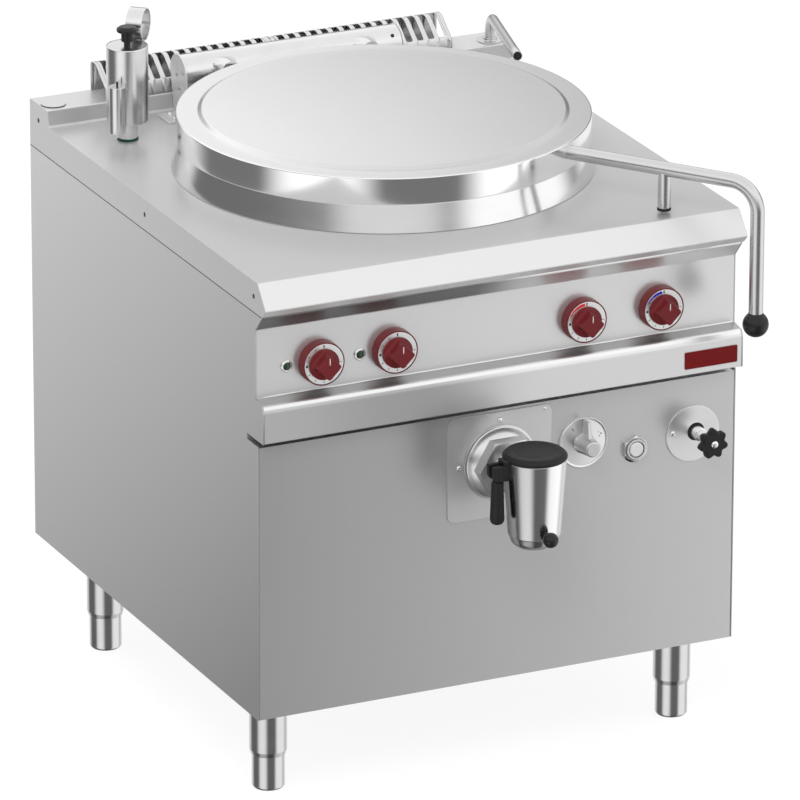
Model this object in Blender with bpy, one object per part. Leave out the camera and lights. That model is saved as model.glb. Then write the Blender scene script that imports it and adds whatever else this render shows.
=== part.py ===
"""Steam jacketed kettle on four adjustable legs, as an assembly of separate pieces.

Metres, +Z up. The machine stands on the floor at z = 0 and faces -Y. Pieces are placed in
the machine's own axes, whose y = 0 runs through the kettle's centre line, and the machine
empty then moves them all so that the origin is the middle of the floor area they cover.
"""

import math

import bmesh
import bpy
from mathutils import Matrix, Vector

# Clearances and cuts
GAP = 0.0003              # between pieces that touch
OVERRUN = 0.010           # how far a cutter runs past what it cuts
WELD = 0.00001            # points closer than this are one point

# Number of facets round a circle
ROUND_LARGE = 48
ROUND_MEDIUM = 24
ROUND_SMALL = 16
ROUND_FINE = 10

# Cabinet
WIDTH = 0.800
SHEET = 0.002
FLOOR_GAP = 0.150         # floor to the cabinet's underside
WORKTOP_Z = 0.850
NOSE_RUN = 0.030          # chamfer of the front edge
NOSE_DROP = 0.036
LIP_RUN = 0.013           # return under the nose
LIP_DROP = 0.013
UPSTAND_HEIGHT = 0.026
UPSTAND_DEPTH = 0.068
UPSTAND_LEAN = 0.006
SKIRT_HOLE_R = 0.0025
VENT_END_IN = 0.0185      # grille's end to the vent opening
VENT_DEPTH = 0.034

# Front of the cabinet
PANEL_RECESS = 0.039      # nose to the control panel's face
PANEL_TOP_DROP = 0.077    # worktop to the top of that face
PANEL_HEIGHT = 0.109
BROW_RUN = 0.0208         # slanted band above the control panel
BROW_RISE = 0.0235
BROW_FLANGE = 0.030
LEDGE_RUN = 0.024         # ledge from the panel out to the fascia
LEDGE_DROP = 0.0045
FASCIA_ROUND = 0.0095
FASCIA_HEIGHT = 0.063     # with its rounded top edge
FASCIA_RECESS = 0.010     # nose to the fascia's face
LOWER_RECESS = 0.032      # nose to the lower front panel
LOWER_DROP = 0.013        # fascia's lower edge to the lower panel's top
NOTCH_HEIGHT = 0.010
NOTCH_DEPTH = 0.037
PANEL_EDGE = 0.018        # bent edges of the sheet panels
TRAY_HEIGHT = 0.040

# Legs
LEG_SIDE_IN = 0.057       # cabinet's side to a leg's axis
LEG_FRONT_IN = 0.121
LEG_REAR_IN = 0.1455
SLEEVE_R = 0.029
SLEEVE_BOTTOM = 0.056
FOOT_R = 0.0253
FOOT_ROUND = 0.005
FOOT_TRAVEL = 0.050
FOOT_HOLD = 0.032         # what stays in the sleeve at full travel

# Kettle
VESSEL_WALL = 0.002
VESSEL_FLOOR = 0.472      # inside height of the bottom above the floor
VESSEL_DISH = 0.002
VESSEL_KNUCKLE = 0.0045
COLLAR_HEIGHT = 0.0422
COLLAR_SIDE_IN = 0.0855   # cabinet's side to the collar's upper edge
COLLAR_FLARE = 0.0115     # growth of its radius down to the worktop
COLLAR_LIP = 0.0145       # its upper edge to the vessel's inside
COLLAR_SHEET = 0.002
JACKET_SPACE = 0.031      # between vessel and jacket
JACKET_UNDER = 0.048
JACKET_TOP = 0.700
INSULATION = 0.025
INSULATION_TOP = 0.660
HEATER_R = 0.006
HEATER_IN = 0.100         # vessel's inside to the outer ring
HEATER_SPACING = 0.070
HEATER_DROP = 0.025
HEATER_LEG = 0.050
HEATER_BLOCK = 0.012
HEATER_BLOCK_EDGE = 0.012
HEATER_OPENING = math.radians(24)

# Lid
LID_OVERHANG = 0.0045     # beyond the collar's upper edge
LID_BAND = 0.044
LID_CLEAR = 0.0005        # closed lid above the collar
LID_EDGE = 0.003
LID_RIM = 0.034           # flat rim round the raised panel
LID_STEP = 0.0045
LID_STEP_RUN = 0.007
LID_CROWN = 0.003
LID_SHEET = 0.002
LID_BAND_WALL = 0.003
LID_LINER_UP = 0.004      # inner sheet above the band's lower edge
LID_VENT_R = 0.003

# Lid hinge
HINGE_CLEAR = 0.003       # lid's edge to the tube
HINGE_BACK = 0.092        # tube's axis to the machine's back
HINGE_Z = 0.915
HINGE_TUBE_R = 0.029
HINGE_TUBE_WALL = 0.002
HINGE_LENGTH = 0.370
ARM_X = 0.120
ARM_R = 0.014
ARM_DROP = 0.004
BRACKET_SHEET = 0.003
BRACKET_FOOT = 0.036
BRACKET_FOOT_FRONT = 0.014
BRACKET_LEG = 0.048
HUB_LENGTH = 0.014
AXLE_R = 0.008
SPRING_WIRE_R = 0.0025
SPRING_TURNS = 7
SPRING_PITCH = 0.011
SPRING_STEPS = 8
SPRING_SIDES = 4

# Lid handle
HANDLE_ANGLE = math.radians(-53.3)
HANDLE_R = 0.011
HANDLE_Z = 0.920
HANDLE_OUT = 0.3175       # lid's edge to the handle's outer leg
HANDLE_BEND_R = 0.044
HANDLE_FALL = 0.206
GRIP_R = 0.020
GRIP_COVER = 0.004
POST_OUT = 0.161
POST_R = 0.010
POST_CLEAR = 0.0045
POST_FOOT = 0.004
POST_FOOT_R = 0.0105

# Vent grille on the upstand
GRILLE_SIDE_IN = 0.1015   # cabinet's side to the grille's end
GRILLE_SHEET = 0.0015
GRILLE_STRIP = 0.019
GRILLE_TOP = 0.0495       # above the upstand
GRILLE_FRONT_IN = 0.004
GRILLE_BACK_IN = 0.004
GRILLE_ROUND = 0.010
SLOT_PITCH = 0.0189
SLOT_WIDTH = 0.0112
SLOT_END_IN = 0.0135      # grille's end to the last slot's middle, at least
SLOT_LOW = 0.004
SLOT_BACK = 0.004
SLIT_WIDTH = 0.002
SLIT_REACH = 0.010

# Water spout
SPOUT_SIDE_IN = 0.025
SPOUT_BACK_IN = 0.042
FLANGE_R = 0.0205
FLANGE_THICK = 0.0015
SPOUT_R = 0.008
SPOUT_WALL = 0.001
SPOUT_Z = 0.919           # where the riser's line meets the arm's
SPOUT_RISE = 0.013
SPOUT_BEND_R = 0.036
SPOUT_REACH = 0.2507
SPOUT_ANGLE = math.radians(-106)
SPOUT_SEAT = 0.004

# Safety valve
VALVE_SIDE_IN = 0.0905
VALVE_BACK_IN = 0.1735
VALVE_R = 0.0325
VALVE_LOW = 0.031         # worktop to the underside of the cylinder
VALVE_HEIGHT = 0.122
VALVE_EDGE = 0.0015
VALVE_NECK_R = 0.0155
VALVE_GASKET = 0.003
VALVE_GASKET_R = 0.0165
SIDE_TUBE_R = 0.013
SIDE_TUBE_LOW = 0.024
SIDE_TUBE_HEIGHT = 0.076
SIDE_TUBE_ANGLE = math.radians(-134)
SIDE_TUBE_WELD = 0.0008
SIDE_PIN_R = 0.0015
SIDE_PIN = 0.007
PULL_CAP_R = 0.0165
PULL_CAP = 0.009
PULL_STEM_R = 0.009
PULL_STEM = 0.015
PULL_ROD_R = 0.005
PULL_ROD = 0.006
PULL_ROD_IN = 0.020
STRAP_R = 0.0256
STRAP_THICK = 0.002
STRAP_WIDTH = 0.0256
STRAP_ANGLE = math.radians(-41)
STRAP_BACK = 0.0432
STRAP_ALONG = 0.0044
STRAP_RISE = 0.0210
RISER_R = 0.012
RISER_WALL = 0.0015
BRANCH_R = 0.009
BRANCH_Z = 0.680

# Control panel fittings
KNOB_RISE = 0.045         # control panel's lower edge to the knobs
KNOB_1_IN = 0.105         # from the left side
KNOB_2_IN = 0.2255
KNOB_3_IN = 0.2595        # from the right side
KNOB_4_IN = 0.1295
BEZEL_R = 0.034
BEZEL_DEPTH = 0.017
BEZEL_RIM = 0.002
BEZEL_DISH = 0.001
HUB_R = 0.024
HUB_THICK = 0.004
HUB_FLARE = 0.010
GRIP_SIDE = 0.029
GRIP_DEPTH = 0.022
GRIP_ROUND = 0.004
SPINDLE_R = 0.004
SPINDLE_HOLE = 0.005
LAMP_1_IN = 0.051         # from the left side
LAMP_2_IN = 0.171
LAMP_R = 0.009
LAMP_LENS_R = 0.006
LAMP_DEPTH = 0.003
LAMP_BODY = 0.030
SWITCH_SIDE = 0.046
SWITCH_DEPTH = 0.040
CARRIER_EDGE = 0.012
BADGE_IN = 0.0545         # from the right side
BADGE_RISE = 0.0235       # fascia's lower edge to the badge's middle
BADGE_WIDTH = 0.0895
BADGE_HEIGHT = 0.0273
BADGE_THICK = 0.001
BADGE_ROUND = 0.002

# Tap
TAP_Z = 0.5036
TAP_REACH = 0.122         # lower panel to the tap's upright axis
PIPE_R = 0.030
PIPE_BORE = 0.026
TAP_PLATE_SIDE = 0.1734
TAP_PLATE_HEIGHT = 0.168
TAP_PLATE_THICK = 0.0015
TAP_PLATE_ROUND = 0.012
TAP_PLATE_RISE = -0.0038
ROSETTE_R = 0.060
ROSETTE_RIM = 0.003
ROSETTE_DEPTH = 0.018
ROSETTE_TOP_R = 0.045
NUT_CORNER_R = 0.0517
NUT_THICK = 0.021
BOSS_R = 0.033
CUP_TOP_R = 0.0484
CUP_LOW_R = 0.0400
CUP_TOP_RISE = 0.0491     # above the pipe's axis
CUP_LOW_DROP = 0.0708     # below the pipe's axis
CUP_WALL = 0.004
BOWL_DEPTH = 0.0185
BOWL_R = 0.030
OUTLET_R = 0.022
CAP_THICK = 0.0095
CAP_ROUND = 0.004
CAP_PLUG = 0.006
BLOCK_WIDTH = 0.024
BLOCK_HEIGHT = 0.024
BLOCK_LOW = 0.0265        # below the cup's top
BLOCK_NECK = 0.008
LEVER_PIN_OUT = 0.062
LEVER_SLOT = 0.0100
LEVER_TONGUE = 0.009
LEVER_NECK = 0.015
LEVER_LENGTH = 0.083
LEVER_TOP_R = 0.0090
LEVER_LOW_R = 0.0110
PLUNGER_ROD_R = 0.006
PLUNGER_DISC = 0.010
PLUNGER_DISC_R = 0.0265
PLUNGER_TRAVEL = 0.020
BALL_R = 0.0118
BALL_OUT = 0.056
BALL_RISE = -0.0646
BALL_STEM_R = 0.005

# Selector, push button and star-knob valve on the lower panel
SELECTOR_GAP_SHARE = 0.1291    # of the free width right of the tap's plate
SELECTOR_Z = 0.5125
SELECTOR_R = 0.0405
SELECTOR_THICK = 0.004
POINTER_HUB_R = 0.0170
POINTER_TOP_R = 0.0125
POINTER_DEPTH = 0.034
POINTER_REACH = 0.038
POINTER_WIDTH = 0.010
POINTER_TIP = 0.004
POINTER_TIP_DEPTH = 0.016
BUTTON_GAP_SHARE = 0.2767
BUTTON_Z = 0.4887
BUTTON_NUT_FLATS = 0.037
BUTTON_NUT_THICK = 0.007
BUTTON_RING_R = 0.0165
BUTTON_RING = 0.002
BUTTON_R = 0.0120
BUTTON_PROUD = 0.0005
BUTTON_DEPTH = 0.020
BUTTON_TRAVEL = 0.003
STAR_GAP_SHARE = 0.3427
STAR_DISC_Z = 0.4970
STAR_DISC_R = 0.045
STAR_DISC_THICK = 0.002
STAR_ASIDE = 0.0052       # stem's axis to the disc's middle
STAR_Z = 0.4995
STAR_HOLE_R = 0.0145
STAR_GLAND_R = 0.0095
STAR_GLAND = 0.018
STAR_STEM_R = 0.0060
STAR_REACH = 0.052
STAR_R = 0.0240
STAR_VALLEY = 0.0190
STAR_THICK = 0.013
STAR_COLLAR_R = 0.013
STAR_COLLAR = 0.006
STAR_LOBES = 7
STAR_SCREW_R = 0.006
STAR_SCREW = 0.004

# Places worked out from the sizes
HALF_WIDTH = WIDTH / 2
INNER_X = HALF_WIDTH - SHEET - GAP
COLLAR_TOP_R = HALF_WIDTH - COLLAR_SIDE_IN
COLLAR_BASE_R = COLLAR_TOP_R + COLLAR_FLARE
VESSEL_R = COLLAR_TOP_R - COLLAR_LIP
LID_R = COLLAR_TOP_R + LID_OVERHANG
HINGE_Y = LID_R + HINGE_CLEAR + HINGE_TUBE_R
BACK_Y = HINGE_Y + HINGE_BACK
NOSE_Y = -BACK_Y
SKIRT_Z = WORKTOP_Z - NOSE_DROP - LIP_DROP
UPSTAND_Z = WORKTOP_Z + UPSTAND_HEIGHT
UPSTAND_Y = BACK_Y - UPSTAND_DEPTH
PANEL_Y = NOSE_Y + PANEL_RECESS
PANEL_TOP_Z = WORKTOP_Z - PANEL_TOP_DROP
PANEL_LOW_Z = PANEL_TOP_Z - PANEL_HEIGHT
FASCIA_Y = NOSE_Y + FASCIA_RECESS
FASCIA_LOW_Z = PANEL_LOW_Z - FASCIA_HEIGHT
LOWER_Y = NOSE_Y + LOWER_RECESS
LOWER_TOP_Z = FASCIA_LOW_Z - LOWER_DROP
LEG_X = HALF_WIDTH - LEG_SIDE_IN
LEG_FRONT_Y = NOSE_Y + LEG_FRONT_IN
LEG_REAR_Y = BACK_Y - LEG_REAR_IN
FOOT_TOP = SLEEVE_BOTTOM + FOOT_TRAVEL + FOOT_HOLD
COLLAR_Z = WORKTOP_Z + GAP
COLLAR_TOP_Z = COLLAR_Z + COLLAR_HEIGHT
VESSEL_OUT = VESSEL_R + VESSEL_WALL
JACKET_R = VESSEL_OUT + JACKET_SPACE
JACKET_LOW = VESSEL_FLOOR - VESSEL_WALL - JACKET_UNDER
HEATER_RINGS = (VESSEL_R - HEATER_IN - HEATER_SPACING, VESSEL_R - HEATER_IN)
LID_Z = COLLAR_TOP_Z + LID_CLEAR
LID_TOP_Z = LID_Z + LID_BAND
HANDLE_REACH = LID_R + HANDLE_OUT
POST_REACH = LID_R + POST_OUT
GRILLE_LENGTH = WIDTH - 2 * GRILLE_SIDE_IN
VENT_LENGTH = GRILLE_LENGTH - 2 * VENT_END_IN
SLOT_COUNT = 2 * int((GRILLE_LENGTH / 2 - SLOT_END_IN) / SLOT_PITCH) + 1
SPOUT_X = HALF_WIDTH - SPOUT_SIDE_IN
SPOUT_Y = BACK_Y - SPOUT_BACK_IN
VALVE_X = VALVE_SIDE_IN - HALF_WIDTH
VALVE_Y = BACK_Y - VALVE_BACK_IN
KNOB_XS = (KNOB_1_IN - HALF_WIDTH, KNOB_2_IN - HALF_WIDTH, HALF_WIDTH - KNOB_3_IN,
           HALF_WIDTH - KNOB_4_IN)
LAMP_XS = (LAMP_1_IN - HALF_WIDTH, LAMP_2_IN - HALF_WIDTH)
KNOB_Z = PANEL_LOW_Z + KNOB_RISE
BADGE_X = HALF_WIDTH - BADGE_IN
BADGE_Z = FASCIA_LOW_Z + BADGE_RISE
TAP_Y = LOWER_Y - TAP_REACH
CUP_CONE = CUP_TOP_RISE + CUP_LOW_DROP
CUP_TOP_Z = TAP_Z + CUP_TOP_RISE
CUP_LOW_Z = CUP_TOP_Z - CUP_CONE
BALL_Y = TAP_Y - BALL_OUT
FRONT_REACH = BALL_Y - BALL_R
FOOTPRINT_MIDDLE = (BACK_Y + FRONT_REACH) / 2
VALVE_TOP = WORKTOP_Z + VALVE_LOW + VALVE_HEIGHT
BOARD_Y = LOWER_Y - GAP   # what lies on the lower front panel starts here
FRONT_GAPS = INNER_X - TAP_PLATE_SIDE / 2 - 2 * SELECTOR_R - BUTTON_NUT_FLATS - 2 * STAR_DISC_R
SELECTOR_X = TAP_PLATE_SIDE / 2 + FRONT_GAPS * SELECTOR_GAP_SHARE + SELECTOR_R
BUTTON_X = SELECTOR_X + SELECTOR_R + FRONT_GAPS * BUTTON_GAP_SHARE + BUTTON_NUT_FLATS / 2
STAR_DISC_X = BUTTON_X + BUTTON_NUT_FLATS / 2 + FRONT_GAPS * STAR_GAP_SHARE + STAR_DISC_R
STAR_X = STAR_DISC_X + STAR_ASIDE
CARRIER_Y = PANEL_Y + SHEET + GAP + SWITCH_DEPTH

for leftover in list(bpy.data.objects):
    bpy.data.objects.remove(leftover, do_unlink=True)


# Materials

def make_material(name, colour, roughness, metallic):
    material = bpy.data.materials.new(name)
    material.use_nodes = True
    shader = material.node_tree.nodes["Principled BSDF"]
    shader.inputs["Base Color"].default_value = (*colour, 1)
    shader.inputs["Roughness"].default_value = roughness
    shader.inputs["Metallic"].default_value = metallic
    return material


FINISHES = {
    "satin": ((0.62, 0.62, 0.62), 0.34, 1),
    "polished": ((0.75, 0.75, 0.76), 0.14, 1),
    "cast": ((0.60, 0.60, 0.60), 0.40, 1),
    "black": ((0.03, 0.03, 0.03), 0.45, 0),
    "burgundy": ((0.20, 0.03, 0.035), 0.40, 0),
    "red_plate": ((0.35, 0.01, 0.02), 0.35, 0),
    "green": ((0.02, 0.12, 0.06), 0.25, 0),
    "wool": ((0.70, 0.66, 0.50), 0.95, 0),
    "spring": ((0.45, 0.45, 0.46), 0.30, 1),
}


# Tools that make and place meshes

machine = bpy.data.objects.new("machine", None)
machine.location = (0, -FOOTPRINT_MIDDLE, 0)
bpy.context.collection.objects.link(machine)


def finish_mesh(shape, name, smooth=True):
    """Turn a bmesh into a mesh with outward faces and smooth round sides."""
    bmesh.ops.remove_doubles(shape, verts=shape.verts, dist=WELD)
    bmesh.ops.recalc_face_normals(shape, faces=shape.faces)
    mesh = bpy.data.meshes.new(name)
    shape.to_mesh(mesh)
    shape.free()
    if smooth:
        mesh.shade_smooth()
        mesh.set_sharp_from_angle(angle=math.radians(35))
    return mesh


def add_piece(name, shape, finish, origin=(0, 0, 0), carrier=None):
    """Link a mesh as a named piece whose own origin is the given machine point."""
    shape.transform(Matrix.Translation(-Vector(origin)))
    mesh = finish_mesh(shape, name)
    piece = bpy.data.objects.new(name, mesh)
    mesh.materials.append(make_material(name + "_finish", *FINISHES[finish]))
    bpy.context.collection.objects.link(piece)
    piece.parent = carrier or machine
    piece.location = origin
    return piece


def add_cutter(name, shape):
    """Link a hidden guide that a Boolean cuts with."""
    cutter = bpy.data.objects.new(name, finish_mesh(shape, name, smooth=False))
    bpy.context.collection.objects.link(cutter)
    cutter.parent = machine
    cutter.hide_render = True
    cutter.display_type = "WIRE"
    return cutter


def boolean(piece, guide, operation="DIFFERENCE"):
    change = piece.modifiers.new(guide.name, "BOOLEAN")
    change.operation = operation
    change.solver = "EXACT"
    change.object = guide


def merge(*shapes):
    """Put several bmeshes into the first one, as separate closed bodies."""
    whole = shapes[0]
    for other in shapes[1:]:
        mesh = bpy.data.meshes.new("part")
        other.to_mesh(mesh)
        other.free()
        whole.from_mesh(mesh)
        bpy.data.meshes.remove(mesh)
    return whole


def turned(profile, facets, place=(0, 0, 0), axis="Z"):
    """Spin a closed (radius, height) outline once round the axis at a place.

    Axis "-Y" makes heights run towards the viewer, "X" to the right, "Z" upwards.
    """
    shape = bmesh.new()
    corners = [shape.verts.new((radius, 0, height)) for radius, height in profile]
    rim = [shape.edges.new((a, b)) for a, b in zip(corners, corners[1:])]
    if profile[0][0] or profile[-1][0]:
        rim.append(shape.edges.new((corners[-1], corners[0])))
    bmesh.ops.spin(shape, geom=corners + rim, cent=(0, 0, 0), axis=(0, 0, 1),
                   angle=math.tau, steps=facets, use_merge=True)
    bmesh.ops.remove_doubles(shape, verts=shape.verts, dist=WELD)
    turns = {"Z": Matrix(), "-Y": Matrix.Rotation(math.pi / 2, 4, "X"),
             "X": Matrix.Rotation(math.pi / 2, 4, "Y")}
    shape.transform(Matrix.Translation(place) @ turns[axis])
    return shape


def disc(radius, low, high, facets, place=(0, 0, 0), axis="Z"):
    return turned([(0, high), (radius, high), (radius, low), (0, low)], facets, place, axis)


def ring(inner, outer, low, high, facets, place=(0, 0, 0), axis="Z"):
    outline = [(inner, high), (outer, high), (outer, low), (inner, low)]
    return turned(outline, facets, place, axis)


def prism(outline, low, high, axis="X"):
    """Extrude a flat outline along an axis between two places.

    Outlines are (y, z) for X, (x, z) for Y and (x, y) for Z.
    """
    spots = {"X": lambda a, b: (low, a, b), "Y": lambda a, b: (a, low, b),
             "Z": lambda a, b: (a, b, low)}
    ways = {"X": (high - low, 0, 0), "Y": (0, high - low, 0), "Z": (0, 0, high - low)}
    shape = bmesh.new()
    base = shape.faces.new([shape.verts.new(spots[axis](a, b)) for a, b in outline])
    grown = bmesh.ops.extrude_face_region(shape, geom=[base])
    moved = [item for item in grown["geom"] if isinstance(item, bmesh.types.BMVert)]
    bmesh.ops.translate(shape, verts=moved, vec=ways[axis])
    bmesh.ops.recalc_face_normals(shape, faces=shape.faces)
    return shape


def box(low, high):
    corners = [(low[0], low[1]), (high[0], low[1]), (high[0], high[1]), (low[0], high[1])]
    return prism(corners, low[2], high[2], "Z")


def arc(centre, radius, start, end, steps):
    """Points on an arc, from one angle to another, both in radians."""
    return [(centre[0] + radius * math.cos(start + (end - start) * step / steps),
             centre[1] + radius * math.sin(start + (end - start) * step / steps))
            for step in range(steps + 1)]


def rounded_rectangle(width, height, radius, centre=(0, 0), steps=4):
    points = []
    for corner, (side, rise) in enumerate(((1, 1), (-1, 1), (-1, -1), (1, -1))):
        middle = (centre[0] + side * (width / 2 - radius), centre[1] + rise * (height / 2 - radius))
        start = corner * math.pi / 2
        points += arc(middle, radius, start, start + math.pi / 2, steps)
    return points


def polygon(corner_radius, count, turn=0, centre=(0, 0)):
    return [(centre[0] + corner_radius * math.cos(turn + math.tau * index / count),
             centre[1] + corner_radius * math.sin(turn + math.tau * index / count))
            for index in range(count)]


def swept(path, radius, facets, bore=0):
    """Carry a circle along a path of points, as a rod or, with a bore, an open tube."""
    path = [Vector(point) for point in path]
    ways = [(after - before).normalized() for before, after in zip(path, path[1:])]
    side = ways[0].orthogonal().normalized()
    shape = bmesh.new()
    hoops = {radius: [], bore: []} if bore else {radius: []}
    for index, point in enumerate(path):
        into = ways[max(index - 1, 0)]
        out = ways[min(index, len(ways) - 1)]
        facing = (into + out).normalized()
        across = into.cross(side)
        for size, hoop in hoops.items():
            corners = []
            for step in range(facets):
                turn = math.tau * step / facets
                arm = size * (math.cos(turn) * side + math.sin(turn) * across)
                mitre = into * (arm.dot(facing) / into.dot(facing))
                corners.append(shape.verts.new(point + arm - mitre))
            hoop.append(corners)
        side = into.rotation_difference(out) @ side
    for hoop in hoops.values():
        for first, second in zip(hoop, hoop[1:]):
            for step in range(facets):
                shape.faces.new((first[step], first[step - 1], second[step - 1], second[step]))
    for end in (0, -1):
        if bore:
            outer, inner = hoops[radius][end], hoops[bore][end]
            for step in range(facets):
                shape.faces.new((outer[step], outer[step - 1], inner[step - 1], inner[step]))
        else:
            shape.faces.new(hoops[radius][end])
    return shape


def bend(start, corner, end, radius, steps):
    """Points of a path from start round a corner to end, with a bend of the given radius."""
    start, corner, end = Vector(start), Vector(corner), Vector(end)
    into, out = (corner - start).normalized(), (end - corner).normalized()
    turn = into.angle(out)
    reach = radius * math.tan(turn / 2)
    centre = corner - into * reach + (out - into * into.dot(out)).normalized() * radius
    arm = (corner - into * reach) - centre
    axis = into.cross(out).normalized()
    points = [start]
    for step in range(steps + 1):
        points.append(centre + Matrix.Rotation(turn * step / steps, 3, axis) @ arm)
    points.append(end)
    return points


# Cabinet sheets

def front_profile(inset):
    """Outline of the control panel's face, moved back by an inset, top to bottom."""
    brow = (PANEL_Y - BROW_RUN + inset, PANEL_TOP_Z + BROW_RISE)
    ledge_y = PANEL_Y - LEDGE_RUN + inset
    ledge_z = PANEL_LOW_Z - LEDGE_DROP - inset
    fascia_y = FASCIA_Y + inset
    return [brow, (PANEL_Y + inset, PANEL_TOP_Z), (PANEL_Y + inset, PANEL_LOW_Z - inset),
            (ledge_y, ledge_z),
            (fascia_y, PANEL_LOW_Z - LEDGE_DROP - FASCIA_ROUND)]


def make_worktop():
    lip_y = NOSE_Y + LIP_RUN
    flat_y = NOSE_Y + NOSE_RUN
    outline = [(BACK_Y, SKIRT_Z), (BACK_Y, UPSTAND_Z), (UPSTAND_Y, UPSTAND_Z),
               (UPSTAND_Y - UPSTAND_LEAN, WORKTOP_Z), (flat_y, WORKTOP_Z),
               (NOSE_Y, WORKTOP_Z - NOSE_DROP), (lip_y, SKIRT_Z)]
    worktop = add_piece("worktop", prism(outline, -HALF_WIDTH, HALF_WIDTH), "satin")
    slope = math.hypot(NOSE_RUN, NOSE_DROP)
    back_off = SHEET * slope / NOSE_DROP
    hollow = [(BACK_Y - SHEET, SKIRT_Z - OVERRUN), (BACK_Y - SHEET, UPSTAND_Z - SHEET),
              (UPSTAND_Y + SHEET, UPSTAND_Z - SHEET),
              (UPSTAND_Y - UPSTAND_LEAN + SHEET, WORKTOP_Z - SHEET),
              (flat_y + SHEET / 2, WORKTOP_Z - SHEET),
              (NOSE_Y + back_off, WORKTOP_Z - NOSE_DROP),
              (lip_y + SHEET, SKIRT_Z + SHEET), (lip_y + SHEET * 2, SKIRT_Z - OVERRUN)]
    inside = HALF_WIDTH - SHEET
    boolean(worktop, add_cutter("worktop_hollow", prism(hollow, -inside, inside)))
    deep = WORKTOP_Z - SHEET - OVERRUN
    tall = UPSTAND_Z + OVERRUN
    opening = ring_hole(COLLAR_BASE_R - COLLAR_SHEET * 2, ROUND_LARGE, (0, 0, deep), tall - deep)
    riser = ring_hole(RISER_R + GAP, ROUND_SMALL, (VALVE_X, VALVE_Y, deep), tall - deep)
    spout = ring_hole(SPOUT_R + GAP, ROUND_SMALL, (SPOUT_X, SPOUT_Y, deep), tall - deep)
    vent = box((-VENT_LENGTH / 2, SPOUT_Y - VENT_DEPTH / 2, deep),
               (VENT_LENGTH / 2, SPOUT_Y + VENT_DEPTH / 2, tall))
    boolean(worktop, add_cutter("worktop_openings", merge(opening, riser, spout, vent)))
    holes = []
    for y, z in skirt_hole_places():
        for side in (-1, 1):
            start = side * (HALF_WIDTH + OVERRUN)
            end = side * (HALF_WIDTH - SHEET - OVERRUN)
            rod = disc(SKIRT_HOLE_R, 0, abs(start - end), ROUND_FINE,
                       (min(start, end), y, z), "X")
            holes.append(rod)
    boolean(worktop, add_cutter("worktop_skirt_holes", merge(*holes)))


def skirt_hole_places():
    middle_z = WORKTOP_Z - (WORKTOP_Z - SKIRT_Z) / 2
    front_y = NOSE_Y + NOSE_RUN + LIP_RUN
    return [(BACK_Y - UPSTAND_DEPTH / 2, WORKTOP_Z), (0, middle_z), (front_y, middle_z)]


def ring_hole(radius, facets, place, height):
    return disc(radius, 0, height, facets, place)


def make_side_panels():
    back = BACK_Y - GAP
    notch_z = FASCIA_LOW_Z
    outline = [(back, FLOOR_GAP), (back, SKIRT_Z - GAP), (PANEL_Y - BROW_RUN, SKIRT_Z - GAP)]
    outline += front_profile(0)
    outline += [(FASCIA_Y, notch_z), (LOWER_Y + NOTCH_DEPTH, notch_z),
                (LOWER_Y + NOTCH_DEPTH, notch_z - NOTCH_HEIGHT),
                (LOWER_Y, notch_z - NOTCH_HEIGHT), (LOWER_Y, FLOOR_GAP)]
    for side, low in (("left", -HALF_WIDTH), ("right", HALF_WIDTH - SHEET)):
        add_piece("side_panel_" + side, prism(outline, low, low + SHEET), "satin")


def make_back_panel():
    shape = box((-INNER_X, BACK_Y - SHEET - GAP, FLOOR_GAP),
                (INNER_X, BACK_Y - GAP, SKIRT_Z - GAP))
    add_piece("back_panel", shape, "satin")


def make_control_panel():
    face = front_profile(0)
    inner = front_profile(SHEET)
    brow_z = PANEL_TOP_Z + BROW_RISE
    flange_y = PANEL_Y - BROW_RUN + BROW_FLANGE
    outline = [(flange_y, SKIRT_Z - GAP), (PANEL_Y - BROW_RUN, SKIRT_Z - GAP)] + face
    outline += [(FASCIA_Y, FASCIA_LOW_Z), (LOWER_Y + PANEL_EDGE, FASCIA_LOW_Z),
                (LOWER_Y + PANEL_EDGE, FASCIA_LOW_Z + SHEET),
                (FASCIA_Y + SHEET, FASCIA_LOW_Z + SHEET)]
    outline += inner[:0:-1]
    outline += [(PANEL_Y - BROW_RUN + SHEET, brow_z - SHEET / 2),
                (PANEL_Y - BROW_RUN + SHEET, SKIRT_Z - GAP - SHEET),
                (flange_y, SKIRT_Z - GAP - SHEET)]
    panel = add_piece("control_panel", prism(outline, -INNER_X, INNER_X), "satin")
    start = PANEL_Y + SHEET + OVERRUN
    length = SHEET + OVERRUN * 2
    holes = [disc(SPINDLE_HOLE, 0, length, ROUND_FINE, (x, start, KNOB_Z), "-Y")
             for x in KNOB_XS]
    holes += [disc(LAMP_LENS_R + GAP, 0, length, ROUND_SMALL, (x, start, KNOB_Z), "-Y")
              for x in LAMP_XS]
    boolean(panel, add_cutter("control_panel_holes", merge(*holes)))


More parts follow.
